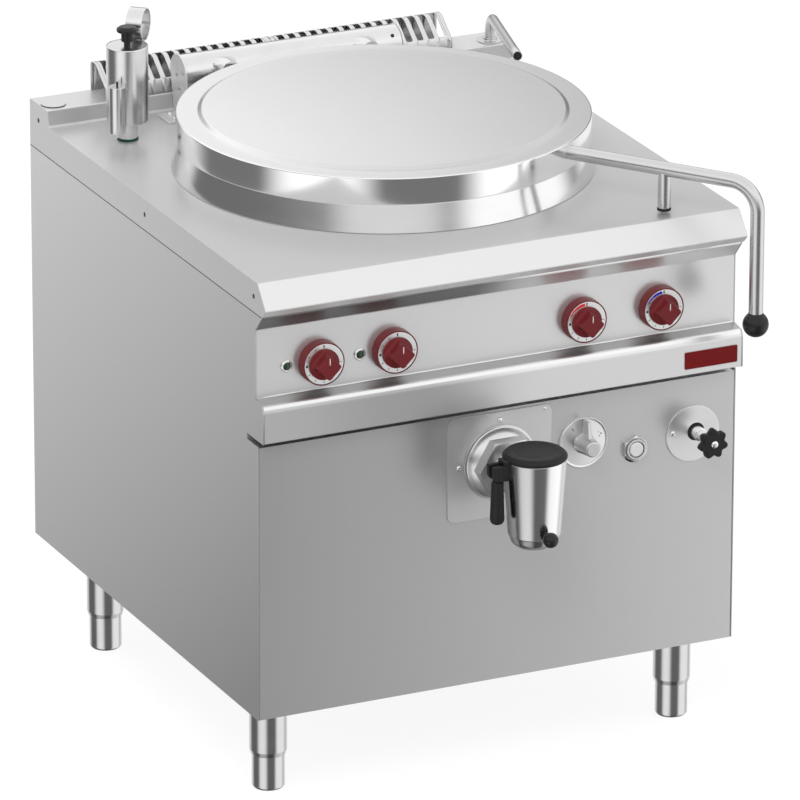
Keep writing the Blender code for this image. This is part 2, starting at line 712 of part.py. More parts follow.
def make_lower_panel():
    outer = [(-INNER_X, LOWER_Y), (INNER_X, LOWER_Y), (INNER_X, LOWER_Y + PANEL_EDGE),
             (INNER_X - SHEET, LOWER_Y + PANEL_EDGE), (INNER_X - SHEET, LOWER_Y + SHEET),
             (-INNER_X + SHEET, LOWER_Y + SHEET), (-INNER_X + SHEET, LOWER_Y + PANEL_EDGE),
             (-INNER_X, LOWER_Y + PANEL_EDGE)]
    low = FLOOR_GAP + TRAY_HEIGHT + GAP
    body = prism(outer, low, LOWER_TOP_Z, "Z")
    panel = add_piece("lower_front_panel", body, "satin")
    skirt = box((-INNER_X, LOWER_Y, FLOOR_GAP), (INNER_X, LOWER_Y + SHEET, low + SHEET))
    boolean(panel, add_cutter("lower_panel_skirt", skirt), "UNION")
    deep = LOWER_Y + NOTCH_DEPTH
    ledge = box((-INNER_X, LOWER_Y, LOWER_TOP_Z - SHEET),
                (INNER_X, deep, LOWER_TOP_Z))
    wall = box((-INNER_X, deep - SHEET, LOWER_TOP_Z - SHEET), (INNER_X, deep, FASCIA_LOW_Z - GAP))
    boolean(panel, add_cutter("lower_panel_ledge", ledge), "UNION")
    boolean(panel, add_cutter("lower_panel_lip", wall), "UNION")
    start = LOWER_Y + SHEET + OVERRUN
    length = SHEET + OVERRUN * 2
    holes = [disc(PIPE_R + GAP, 0, length, ROUND_MEDIUM, (0, start, TAP_Z), "-Y"),
             disc(SPINDLE_HOLE, 0, length, ROUND_FINE, (SELECTOR_X, start, SELECTOR_Z), "-Y"),
             disc(BUTTON_R + GAP, 0, length, ROUND_SMALL, (BUTTON_X, start, BUTTON_Z), "-Y"),
             disc(STAR_HOLE_R, 0, length, ROUND_SMALL, (STAR_X, start, STAR_Z), "-Y")]
    boolean(panel, add_cutter("lower_panel_holes", merge(*holes)))


def make_base_tray():
    side = INNER_X
    front = LOWER_Y + SHEET + GAP
    back = BACK_Y - SHEET - GAP * 2
    top = FLOOR_GAP + TRAY_HEIGHT
    tray = add_piece("base_tray", box((-side, front, FLOOR_GAP), (side, back, top)), "satin")
    hollow = box((-side + SHEET, front + SHEET, FLOOR_GAP + SHEET),
                 (side - SHEET, back - SHEET, top + OVERRUN))
    boolean(tray, add_cutter("base_tray_hollow", hollow))


# Legs

def leg_places():
    return {"front_left": (-LEG_X, LEG_FRONT_Y), "front_right": (LEG_X, LEG_FRONT_Y),
            "rear_left": (-LEG_X, LEG_REAR_Y), "rear_right": (LEG_X, LEG_REAR_Y)}


def make_legs():
    bore = FOOT_R + GAP
    shoulder = SLEEVE_R - bore
    sleeve = [(bore, FLOOR_GAP - GAP), (SLEEVE_R, FLOOR_GAP - GAP),
              (SLEEVE_R, SLEEVE_BOTTOM + shoulder * 2), (SLEEVE_R - shoulder / 2, SLEEVE_BOTTOM),
              (bore, SLEEVE_BOTTOM)]
    foot = [(0, FOOT_TOP), (FOOT_R, FOOT_TOP), (FOOT_R, FOOT_ROUND),
            (FOOT_R - FOOT_ROUND / 3, FOOT_ROUND / 3), (FOOT_R - FOOT_ROUND, 0), (0, 0)]
    for name, (x, y) in leg_places().items():
        add_piece("leg_sleeve_" + name, turned(sleeve, ROUND_SMALL, (x, y, 0)), "polished")
        add_piece("foot_" + name, turned(foot, ROUND_SMALL, (x, y, 0)), "polished", (x, y, 0))


# Kettle, jacket and what heats it

def drain_cutter(name, radius, near, far):
    return add_cutter(name, disc(radius, 0, near - far, ROUND_MEDIUM, (0, near, TAP_Z), "-Y"))


def make_kettle():
    top = COLLAR_TOP_Z - COLLAR_SHEET
    floor = VESSEL_FLOOR
    knuckle = VESSEL_KNUCKLE
    outline = [(0, floor + VESSEL_DISH), (VESSEL_R - knuckle * 2, floor),
               (VESSEL_R, floor + knuckle), (VESSEL_R, top), (VESSEL_OUT, top),
               (VESSEL_OUT, floor + knuckle - VESSEL_WALL / 2),
               (VESSEL_R - knuckle * 2 + VESSEL_WALL, floor - VESSEL_WALL),
               (0, floor + VESSEL_DISH - VESSEL_WALL)]
    vessel = add_piece("vessel", turned(outline, ROUND_LARGE), "polished")
    boolean(vessel, drain_cutter("vessel_drain", PIPE_BORE, -VESSEL_R + OVERRUN,
                                 -VESSEL_OUT - OVERRUN))
    collar = [(COLLAR_BASE_R, COLLAR_Z), (COLLAR_TOP_R, COLLAR_TOP_Z),
              (VESSEL_OUT + GAP, COLLAR_TOP_Z), (VESSEL_OUT + GAP, top - COLLAR_SHEET),
              (COLLAR_TOP_R - COLLAR_SHEET, top - COLLAR_SHEET),
              (COLLAR_BASE_R - COLLAR_SHEET, COLLAR_Z)]
    add_piece("collar_ring", turned(collar, ROUND_LARGE), "polished")


def make_jacket():
    low = JACKET_LOW
    outline = [(0, low + VESSEL_WALL), (JACKET_R - VESSEL_WALL, low + VESSEL_WALL),
               (JACKET_R - VESSEL_WALL, JACKET_TOP - VESSEL_WALL),
               (VESSEL_OUT + GAP, JACKET_TOP - VESSEL_WALL), (VESSEL_OUT + GAP, JACKET_TOP),
               (JACKET_R, JACKET_TOP), (JACKET_R, low), (0, low)]
    jacket = add_piece("steam_jacket", turned(outline, ROUND_LARGE), "satin")
    near, far = -VESSEL_OUT, -JACKET_R - OVERRUN
    boolean(jacket, drain_cutter("jacket_drain", PIPE_R + GAP, near, far))
    wells = [disc(HEATER_R + GAP * 4, 0, VESSEL_WALL + OVERRUN * 2, ROUND_FINE,
                  (x, y, low - OVERRUN))
             for ring_r in HEATER_RINGS for x, y in heater_ends(ring_r)]
    boolean(jacket, add_cutter("jacket_heater_wells", merge(*wells)))
    wrap = ring(JACKET_R + GAP, JACKET_R + INSULATION, low, INSULATION_TOP, ROUND_LARGE)
    wrap_piece = add_piece("insulation_wrap", wrap, "wool")
    boolean(wrap_piece, drain_cutter("insulation_drain", PIPE_R + GAP, near, far - INSULATION))


def heater_ends(ring_r):
    """The two places where a heating ring turns down through the jacket's floor."""
    return [(ring_r * math.cos(turn), ring_r * math.sin(turn))
            for turn in (HEATER_OPENING / 2, -HEATER_OPENING / 2)]


def make_heaters():
    """Each element is one open ring in the water, whose two legs go down through the floor."""
    level = VESSEL_FLOOR - HEATER_DROP
    rods = []
    steps = 20
    for ring_r in HEATER_RINGS:
        first, last = heater_ends(ring_r)
        span = math.tau - HEATER_OPENING
        circle = [(ring_r * math.cos(HEATER_OPENING / 2 + span * step / steps),
                   ring_r * math.sin(HEATER_OPENING / 2 + span * step / steps), level)
                  for step in range(steps + 1)]
        foot = level - HEATER_LEG
        path = [(*first, foot), (*first, level - HEATER_R * 2)] + circle[1:-1]
        path += [(*last, level - HEATER_R * 2), (*last, foot)]
        rods.append(swept(path, HEATER_R, 6))
    heaters = add_piece("heating_elements", merge(*rods), "spring")
    near = min(HEATER_RINGS) * math.cos(HEATER_OPENING / 2) - HEATER_BLOCK_EDGE
    far = max(HEATER_RINGS) * math.cos(HEATER_OPENING / 2) + HEATER_BLOCK_EDGE
    side = max(HEATER_RINGS) * math.sin(HEATER_OPENING / 2) + HEATER_BLOCK_EDGE
    foot = level - HEATER_LEG
    block = box((near, -side, foot - HEATER_BLOCK), (far, side, foot + HEATER_R / 2))
    boolean(heaters, add_cutter("heater_terminals", block), "UNION")


# Lid and its hinge

def make_lid(carrier):
    rim = LID_R - LID_RIM
    panel = LID_TOP_Z + LID_STEP
    crown = panel + LID_CROWN
    sheet = LID_SHEET
    wall = LID_R - LID_BAND_WALL
    liner = LID_Z + LID_LINER_UP
    outline = [(0, crown), (rim / 2, crown - LID_CROWN / 4),
               (rim - LID_STEP_RUN, panel), (rim - LID_STEP_RUN / 3, LID_TOP_Z + LID_STEP * 2 / 3),
               (rim, LID_TOP_Z), (LID_R - LID_EDGE, LID_TOP_Z),
               (LID_R - LID_EDGE / 3, LID_TOP_Z - LID_EDGE / 3), (LID_R, LID_TOP_Z - LID_EDGE),
               (LID_R, LID_Z), (wall, LID_Z), (wall, liner), (LID_VENT_R, liner),
               (LID_VENT_R, liner + sheet), (wall, liner + sheet), (wall, LID_TOP_Z - sheet),
               (rim - sheet, LID_TOP_Z - sheet), (rim - LID_STEP_RUN, panel - sheet),
               (rim / 2, crown - LID_CROWN / 4 - sheet), (0, crown - sheet)]
    add_piece("lid", turned(outline, ROUND_LARGE), "satin", HINGE, carrier)


def make_hinge_tube(carrier):
    half = HINGE_LENGTH / 2
    bore = HINGE_TUBE_R - HINGE_TUBE_WALL
    shell = ring(bore, HINGE_TUBE_R, 0, HINGE_LENGTH, ROUND_MEDIUM,
                 (-half, HINGE_Y, HINGE_Z), "X")
    tube = add_piece("hinge_tube", shell, "polished", HINGE, carrier)
    arms = []
    front = LID_R + GAP
    for side in (-1, 1):
        x = side * ARM_X
        lid_edge = math.sqrt(front ** 2 - (ARM_X - ARM_R) ** 2)
        level = HINGE_Z + HINGE_TUBE_R - ARM_R - ARM_DROP
        low = level - ARM_R
        outline = arc((x, level), ARM_R, 0, math.pi, 8)
        outline += [(x - ARM_R, low), (x + ARM_R, low)]
        arms.append(prism(outline, lid_edge, HINGE_Y - HINGE_TUBE_R / 2, "Y"))
    boolean(tube, add_cutter("hinge_arms", merge(*arms)), "UNION")
    plug = disc(bore, 0, HINGE_LENGTH, ROUND_MEDIUM, (-half, HINGE_Y, HINGE_Z), "X")
    boolean(tube, add_cutter("hinge_tube_bore", plug))


def make_hinge_brackets():
    """Each bracket is a round-topped plate with a hub in the tube and a bolted foot."""
    foot_z = WORKTOP_Z + GAP
    plate_r = HINGE_TUBE_R + BRACKET_SHEET / 2
    front = HINGE_Y - HINGE_TUBE_R
    rear = front + BRACKET_LEG
    rear_turn = -math.asin((HINGE_Z - UPSTAND_Z - BRACKET_SHEET) / (plate_r * 2))
    outline = arc((HINGE_Y, HINGE_Z), plate_r, rear_turn, math.pi, 16)
    outline += [(HINGE_Y - plate_r, foot_z), (min(rear, UPSTAND_Y - UPSTAND_LEAN - GAP), foot_z)]
    for name, side in (("left", -1), ("right", 1)):
        inner = side * (HINGE_LENGTH / 2 + GAP)
        outer = inner + side * BRACKET_SHEET
        plate = prism(outline, min(inner, outer), max(inner, outer))
        bracket = add_piece("hinge_bracket_" + name, plate, "satin")
        deep = BRACKET_SHEET + HUB_LENGTH
        start = outer if side < 0 else outer - deep
        bearing = HINGE_TUBE_R - HINGE_TUBE_WALL - GAP
        hub = disc(bearing, 0, deep, ROUND_MEDIUM, (start, HINGE_Y, HINGE_Z), "X")
        boolean(bracket, add_cutter("hinge_hub_" + name, hub), "UNION")
        far = outer + side * BRACKET_FOOT
        flange = box((min(inner, far), HINGE_Y - plate_r - BRACKET_FOOT_FRONT, foot_z),
                     (max(inner, far), HINGE_Y, foot_z + BRACKET_SHEET))
        boolean(bracket, add_cutter("hinge_foot_" + name, flange), "UNION")
        if side < 0:
            length = HINGE_LENGTH - HUB_LENGTH * 2
            rod = disc(AXLE_R, -OVERRUN, length - GAP, ROUND_FINE,
                       (-HINGE_LENGTH / 2 + HUB_LENGTH, HINGE_Y, HINGE_Z), "X")
            boolean(bracket, add_cutter("hinge_axle", rod), "UNION")


def make_spring():
    """The counterbalance spring, wound round the axle inside the hinge tube."""
    coil = (AXLE_R + SPRING_WIRE_R + GAP) / math.cos(math.pi / SPRING_STEPS)
    steps = SPRING_TURNS * SPRING_STEPS
    path = []
    for step in range(steps + 1):
        turn = math.tau * step / SPRING_STEPS
        path.append(((step / steps - 1 / 2) * SPRING_PITCH * SPRING_TURNS,
                     HINGE_Y + coil * math.cos(turn), HINGE_Z + coil * math.sin(turn)))
    add_piece("hinge_spring", swept(path, SPRING_WIRE_R, SPRING_SIDES), "spring")


def make_handle(carrier):
    way = Vector((math.cos(HANDLE_ANGLE), math.sin(HANDLE_ANGLE), 0))
    level = Vector((0, 0, HANDLE_Z))
    start = way * (LID_R + GAP) + level
    corner = way * HANDLE_REACH + level
    low = corner - Vector((0, 0, HANDLE_FALL))
    path = bend(start, corner, low, HANDLE_BEND_R, 6)
    handle = add_piece("lid_handle", swept(path, HANDLE_R, 16), "polished", HINGE, carrier)
    spot = way * POST_REACH
    foot_low = WORKTOP_Z + POST_CLEAR
    outline = [(0, HANDLE_Z), (POST_R, HANDLE_Z), (POST_R, foot_low + POST_FOOT),
               (POST_FOOT_R, foot_low + POST_FOOT), (POST_FOOT_R, foot_low), (0, foot_low)]
    post = turned(outline, 16, (spot.x, spot.y, 0))
    boolean(handle, add_cutter("rest_post", post), "UNION")
    drop = GRIP_R - GRIP_COVER
    centre = low.z - drop
    seat = HANDLE_R + GAP
    top = math.sqrt(GRIP_R ** 2 - seat ** 2)
    first = math.asin(top / GRIP_R)
    ball = arc((0, centre), GRIP_R, first, -math.pi / 2, 10)[:-1] + [(0, centre - GRIP_R)]
    socket = low.z - GAP
    ball = [(0, min(socket, centre + top))] + [(seat, min(socket, centre + top))] + ball
    add_piece("ball_grip", turned(ball, ROUND_SMALL, (low.x, low.y, 0)), "black", HINGE, carrier)


# Vent grille

def grille_profile(inset):
    """Section of the bent cover, front foot to back foot, moved inwards by an inset."""
    front = UPSTAND_Y + GRILLE_FRONT_IN + inset
    back = BACK_Y - GRILLE_BACK_IN - inset
    low = UPSTAND_Z + GAP
    top = UPSTAND_Z + GRILLE_TOP - inset
    shoulder = low + GRILLE_STRIP - inset / 2
    bend_r = GRILLE_ROUND - inset
    middle = (back - bend_r, top - bend_r)
    reach = math.dist(middle, (front, shoulder))
    lean = math.atan2(middle[1] - shoulder, middle[0] - front) + math.asin(bend_r / reach)
    crest = arc(middle, bend_r, math.pi / 2 + lean, 0, 5)
    return [(front, low), (front, shoulder)] + crest + [(back, low)]


def make_grille():
    outline = grille_profile(0) + grille_profile(GRILLE_SHEET)[::-1]
    half = GRILLE_LENGTH / 2
    grille = add_piece("vent_grille", prism(outline, -half, half), "satin")
    low_y = UPSTAND_Y + GRILLE_FRONT_IN + GRILLE_SHEET + SLOT_LOW
    high_y = BACK_Y - GRILLE_BACK_IN - GRILLE_SHEET - SLOT_BACK
    low_z = UPSTAND_Z + GRILLE_STRIP / 2
    high_z = UPSTAND_Z + GRILLE_TOP + OVERRUN
    slots = []
    middle = SLOT_COUNT // 2
    for index in range(SLOT_COUNT):
        x = (index - middle) * SLOT_PITCH
        width = SLIT_WIDTH if index == middle else SLOT_WIDTH
        near = high_y - SLIT_REACH if index == middle else low_y
        slots.append(box((x - width / 2, near, low_z), (x + width / 2, high_y, high_z)))
    boolean(grille, add_cutter("grille_slots", merge(*slots)))


# Water spout

def make_spout():
    way = Vector((math.cos(SPOUT_ANGLE), math.sin(SPOUT_ANGLE), 0))
    foot = Vector((SPOUT_X, SPOUT_Y, WORKTOP_Z + SPOUT_SEAT))
    corner = Vector((SPOUT_X, SPOUT_Y, SPOUT_Z))
    end = corner + way * SPOUT_REACH + Vector((0, 0, SPOUT_RISE))
    path = bend(foot, corner, end, SPOUT_BEND_R, 7)
    shape = swept(path, SPOUT_R, ROUND_FINE, SPOUT_R - SPOUT_WALL)
    spout = add_piece("water_spout", shape, "polished", (SPOUT_X, SPOUT_Y, UPSTAND_Z))
    low = UPSTAND_Z + GAP
    flange = ring(SPOUT_R - SPOUT_WALL / 2, FLANGE_R, low, low + FLANGE_THICK, ROUND_SMALL,
                  (SPOUT_X, SPOUT_Y, 0))
    boolean(spout, add_cutter("spout_flange", flange), "UNION")


# Safety valve

def make_safety_valve():
    seat = WORKTOP_Z + GAP
    low = WORKTOP_Z + VALVE_LOW
    gasket = ring(RISER_R + GAP, VALVE_GASKET_R, seat, seat + VALVE_GASKET, ROUND_SMALL,
                  (VALVE_X, VALVE_Y, 0))
    add_piece("safety_valve_gasket", gasket, "green")
    neck = seat + VALVE_GASKET + GAP
    bore = PULL_ROD_R + GAP
    deep = VALVE_TOP - PULL_ROD_IN - GAP
    outline = [(0, deep), (bore, deep), (bore, VALVE_TOP), (VALVE_R - VALVE_EDGE, VALVE_TOP),
               (VALVE_R, VALVE_TOP - VALVE_EDGE), (VALVE_R, low + VALVE_EDGE),
               (VALVE_R - VALVE_EDGE, low), (VALVE_NECK_R, low), (VALVE_NECK_R, neck), (0, neck)]
    body = turned(outline, ROUND_MEDIUM, (VALVE_X, VALVE_Y, 0))
    valve = add_piece("safety_valve", body, "polished")
    way = Vector((math.cos(SIDE_TUBE_ANGLE), math.sin(SIDE_TUBE_ANGLE), 0))
    spot = Vector((VALVE_X, VALVE_Y, 0)) + way * (VALVE_R + SIDE_TUBE_R - SIDE_TUBE_WELD)
    bottom = WORKTOP_Z + SIDE_TUBE_LOW
    top = bottom + SIDE_TUBE_HEIGHT
    tube = [(0, top + SIDE_PIN), (SIDE_PIN_R, top + SIDE_PIN), (SIDE_PIN_R, top),
            (SIDE_TUBE_R, top), (SIDE_TUBE_R, bottom), (0, bottom)]
    side_tube = add_cutter("side_tube", turned(tube, ROUND_SMALL, spot))
    boolean(valve, side_tube, "UNION")
    boolean(valve, make_strap(), "UNION")
    top = VALVE_TOP
    cap = top + PULL_ROD + PULL_STEM
    pull = [(0, cap + PULL_CAP), (PULL_CAP_R * 3 / 5, cap + PULL_CAP),
            (PULL_CAP_R, cap + PULL_CAP / 2), (PULL_CAP_R * 4 / 5, cap), (PULL_STEM_R, cap - GAP),
            (PULL_STEM_R, top + PULL_ROD), (PULL_ROD_R, top + PULL_ROD),
            (PULL_ROD_R, top - PULL_ROD_IN), (0, top - PULL_ROD_IN)]
    add_piece("safety_valve_knob", turned(pull, ROUND_SMALL, (VALVE_X, VALVE_Y, 0)), "black",
              (VALVE_X, VALVE_Y, top))


def make_strap():
    """A flat strap bent into a ring, which grips the rear rim of the valve's top."""
    along = Vector((math.cos(STRAP_ANGLE), math.sin(STRAP_ANGLE), 0))
    back = Vector((-along.y, along.x, 0))
    middle = Vector((VALVE_X, VALVE_Y, VALVE_TOP + STRAP_RISE))
    middle += along * STRAP_ALONG + back * STRAP_BACK
    hoop = ring(STRAP_R - STRAP_THICK, STRAP_R, -STRAP_WIDTH / 2, STRAP_WIDTH / 2, ROUND_SMALL)
    turn = along.to_track_quat("Z", "Y").to_matrix().to_4x4()
    hoop.transform(Matrix.Translation(middle) @ turn)
    return add_cutter("strap_ring", hoop)


def make_riser():
    seat = WORKTOP_Z
    centre = Vector((VALVE_X, VALVE_Y, 0))
    reach = centre.length
    low = BRANCH_Z - RISER_R - RISER_WALL
    pipe = ring(RISER_R - RISER_WALL, RISER_R, low, seat, ROUND_SMALL, centre)
    riser = add_piece("steam_riser_pipe", pipe, "satin")
    inward = -centre / reach
    start = centre + inward * (RISER_R - RISER_WALL / 2) + Vector((0, 0, BRANCH_Z))
    end = centre + inward * (reach - JACKET_R - GAP) + Vector((0, 0, BRANCH_Z))
    branch = swept([start, end], BRANCH_R, ROUND_FINE)
    boolean(riser, add_cutter("riser_branch", branch), "UNION")


# Control panel fittings

def make_controls():
    face = PANEL_Y - GAP
    front = face - BEZEL_DEPTH
    bodies = []
    rim = BEZEL_R - BEZEL_RIM
    bore = SPINDLE_HOLE
    bezel = [(bore, 0), (BEZEL_R, 0), (BEZEL_R, BEZEL_DEPTH), (rim, BEZEL_DEPTH),
             (rim, BEZEL_DEPTH - BEZEL_DISH), (bore, BEZEL_DEPTH - BEZEL_DISH)]
    behind = PANEL_Y + SHEET + GAP
    for number, x in enumerate(KNOB_XS, start=1):
        name = "bezel_" + str(number)
        add_piece(name, turned(bezel, ROUND_MEDIUM, (x, face, KNOB_Z), "-Y"), "burgundy")
        half = SWITCH_SIDE / 2
        bodies.append(box((x - half, behind, KNOB_Z - half),
                          (x + half, CARRIER_Y + SHEET / 2, KNOB_Z + half)))
        start = front + BEZEL_DISH - GAP
        make_knob("knob_" + str(number), x, start, behind - GAP * 2)
    for number, x in enumerate(LAMP_XS, start=1):
        tail = -(GAP + SHEET + LAMP_BODY)
        shape = [(0, LAMP_DEPTH), (LAMP_R - LAMP_DEPTH / 3, LAMP_DEPTH),
                 (LAMP_R, LAMP_DEPTH * 2 / 3), (LAMP_R, 0), (LAMP_LENS_R, 0),
                 (LAMP_LENS_R, tail), (0, tail)]
        lamp = turned(shape, ROUND_SMALL, (x, face, KNOB_Z), "-Y")
        add_piece("signal_lamp_" + str(number), lamp, "green")
    badge = prism(rounded_rectangle(BADGE_WIDTH, BADGE_HEIGHT, BADGE_ROUND, (BADGE_X, BADGE_Z), 2),
                  FASCIA_Y - GAP - BADGE_THICK, FASCIA_Y - GAP, "Y")
    add_piece("badge_plate", badge, "red_plate")
    return bodies


def make_knob(name, x, start, tail):
    """A round hub that flares into a square grip turned on its corner."""
    shape = bmesh.new()
    steps = 24
    levels = [(0, HUB_R, 0), (HUB_THICK, HUB_R, 0), (HUB_THICK + HUB_FLARE / 4, 0, 3 / 5),
              (HUB_THICK + HUB_FLARE, 0, 1), (GRIP_DEPTH, 0, 1)]
    flat = GRIP_SIDE / 2
    hoops = []
    for depth, radius, share in levels:
        hoop = []
        for step in range(steps):
            turn = math.tau * step / steps
            corner = turn + math.pi / 4
            reach = flat / max(abs(math.cos(corner)), abs(math.sin(corner)))
            reach = min(reach, flat * math.sqrt(2) - GRIP_ROUND)
            size = radius or HUB_R + (reach - HUB_R) * share
            hoop.append(shape.verts.new((x + size * math.cos(turn), start - depth,
                                         KNOB_Z + size * math.sin(turn))))
        hoops.append(hoop)
    for first, second in zip(hoops, hoops[1:]):
        for step in range(steps):
            shape.faces.new((first[step], first[step - 1], second[step - 1], second[step]))
    shape.faces.new(hoops[-1])
    rear = [shape.verts.new((x + SPINDLE_R * math.cos(math.tau * step / steps), start,
                             KNOB_Z + SPINDLE_R * math.sin(math.tau * step / steps)))
            for step in range(steps)]
    tip = [shape.verts.new((vert.co.x, tail, vert.co.z)) for vert in rear]
    for first, second in ((hoops[0], rear), (rear, tip)):
        for step in range(steps):
            shape.faces.new((first[step], first[step - 1], second[step - 1], second[step]))
    shape.faces.new(tip)
    add_piece(name, shape, "burgundy", (x, start, KNOB_Z))


# Tap

def make_tap():
    plate_z = TAP_Z + TAP_PLATE_RISE
    plate_y = BOARD_Y - TAP_PLATE_THICK
    outline = rounded_rectangle(TAP_PLATE_SIDE, TAP_PLATE_HEIGHT, TAP_PLATE_ROUND, (0, plate_z))
    plate = add_piece("tap_plate", prism(outline, plate_y, BOARD_Y, "Y"), "satin")
    boolean(plate, add_cutter("tap_plate_hole", disc(
        PIPE_R + GAP, 0, TAP_PLATE_THICK + OVERRUN * 2, ROUND_MEDIUM,
        (0, BOARD_Y + OVERRUN, TAP_Z), "-Y")))
    bore = PIPE_R + GAP
    dish = [(bore, 0), (ROSETTE_R, 0), (ROSETTE_R, ROSETTE_RIM),
            (ROSETTE_TOP_R, ROSETTE_DEPTH), (bore, ROSETTE_DEPTH)]
    rosette_y = plate_y - GAP
    add_piece("tap_rosette", turned(dish, ROUND_MEDIUM, (0, rosette_y, TAP_Z), "-Y"), "cast")
    nut_y = rosette_y - ROSETTE_DEPTH - GAP
    hexagon = polygon(NUT_CORNER_R, 6, 0, (0, TAP_Z))
    nut = add_piece("tap_nut", prism(hexagon, nut_y - NUT_THICK, nut_y, "Y"), "cast")
    boolean(nut, add_cutter("tap_nut_bore", disc(
        bore, 0, NUT_THICK + OVERRUN * 2, ROUND_MEDIUM, (0, nut_y + OVERRUN, TAP_Z), "-Y")))
    joint_y = nut_y - NUT_THICK
    pipe = ring(PIPE_BORE, PIPE_R, VESSEL_OUT + GAP * 2, -joint_y, ROUND_MEDIUM,
                (0, 0, TAP_Z), "-Y")
    add_piece("drain_pipe", pipe, "satin")
    make_tap_body(joint_y - GAP)


def cup_radius(z):
    """Outer radius of the cup's cone at a height."""
    share = (CUP_TOP_Z - z) / CUP_CONE
    return CUP_TOP_R + (CUP_LOW_R - CUP_TOP_R) * share


def make_tap_body(joint_y):
    bowl_z = CUP_LOW_Z - BOWL_DEPTH
    inner = CUP_TOP_R - CUP_WALL
    outline = [(inner, CUP_TOP_Z), (CUP_TOP_R, CUP_TOP_Z), (CUP_LOW_R, CUP_LOW_Z),
               (CUP_LOW_R - CUP_WALL, CUP_LOW_Z - BOWL_DEPTH * 2 / 3), (BOWL_R, bowl_z),
               (OUTLET_R, bowl_z), (OUTLET_R, bowl_z + CUP_WALL),
               (CUP_LOW_R - CUP_WALL * 2, CUP_LOW_Z - CUP_WALL),
               (CUP_LOW_R - CUP_WALL, CUP_LOW_Z)]
    cup = turned(outline, ROUND_MEDIUM, (0, TAP_Y, 0))
    body = add_piece("tap_body", cup, "polished")
    wall_y = TAP_Y + cup_radius(TAP_Z) - CUP_WALL / 2
    boss = disc(BOSS_R, 0, joint_y - wall_y, ROUND_MEDIUM, (0, joint_y, TAP_Z), "-Y")
    boolean(body, add_cutter("tap_boss", boss), "UNION")
    bore = disc(PIPE_BORE, 0, joint_y - TAP_Y + OVERRUN, ROUND_MEDIUM,
                (0, joint_y + OVERRUN, TAP_Z), "-Y")
    boolean(body, add_cutter("tap_bore", bore))
    low = CUP_TOP_Z + GAP
    plug = inner - GAP * 3
    cap = [(0, low + CAP_THICK), (CUP_TOP_R - CAP_ROUND, low + CAP_THICK),
           (CUP_TOP_R - CAP_ROUND / 3, low + CAP_THICK - CAP_ROUND / 3),
           (CUP_TOP_R, low + CAP_THICK - CAP_ROUND), (CUP_TOP_R, low),
           (plug, low), (plug, low - CAP_PLUG), (PLUNGER_ROD_R + GAP, low - CAP_PLUG),
           (PLUNGER_ROD_R + GAP, low + GAP), (0, low + GAP)]
    cap_piece = add_piece("tap_cap", turned(cap, ROUND_MEDIUM, (0, TAP_Y, 0)), "black")
    make_lever_block(cap_piece)
    seat = bowl_z + CUP_WALL + GAP
    stop = low - PLUNGER_TRAVEL - GAP
    plunger = [(0, stop), (PLUNGER_ROD_R, stop), (PLUNGER_ROD_R, seat + PLUNGER_DISC),
               (PLUNGER_DISC_R, seat + PLUNGER_DISC),
               (PLUNGER_DISC_R, seat + PLUNGER_DISC * 3 / 5), (OUTLET_R - GAP * 3, seat), (0, seat)]
    add_piece("tap_plunger", turned(plunger, ROUND_SMALL, (0, TAP_Y, 0)), "satin",
              (0, TAP_Y, seat))
    ball_z = TAP_Z + BALL_RISE
    wall = TAP_Y - cup_radius(ball_z)
    stem = math.sqrt(BALL_R ** 2 - BALL_STEM_R ** 2)
    lean = (CUP_TOP_R - CUP_LOW_R) / CUP_CONE * BALL_STEM_R
    depth = abs(BALL_Y - wall) - GAP - lean
    profile = [(0, -depth), (BALL_STEM_R, -depth), (BALL_STEM_R, -stem)]
    start = math.asin(-stem / BALL_R)
    profile += arc((0, 0), BALL_R, start, math.pi / 2, 9)[1:-1] + [(0, BALL_R)]
    ball = turned(profile, 16, (0, BALL_Y, ball_z), "-Y")
    add_piece("outlet_ball", ball, "black")


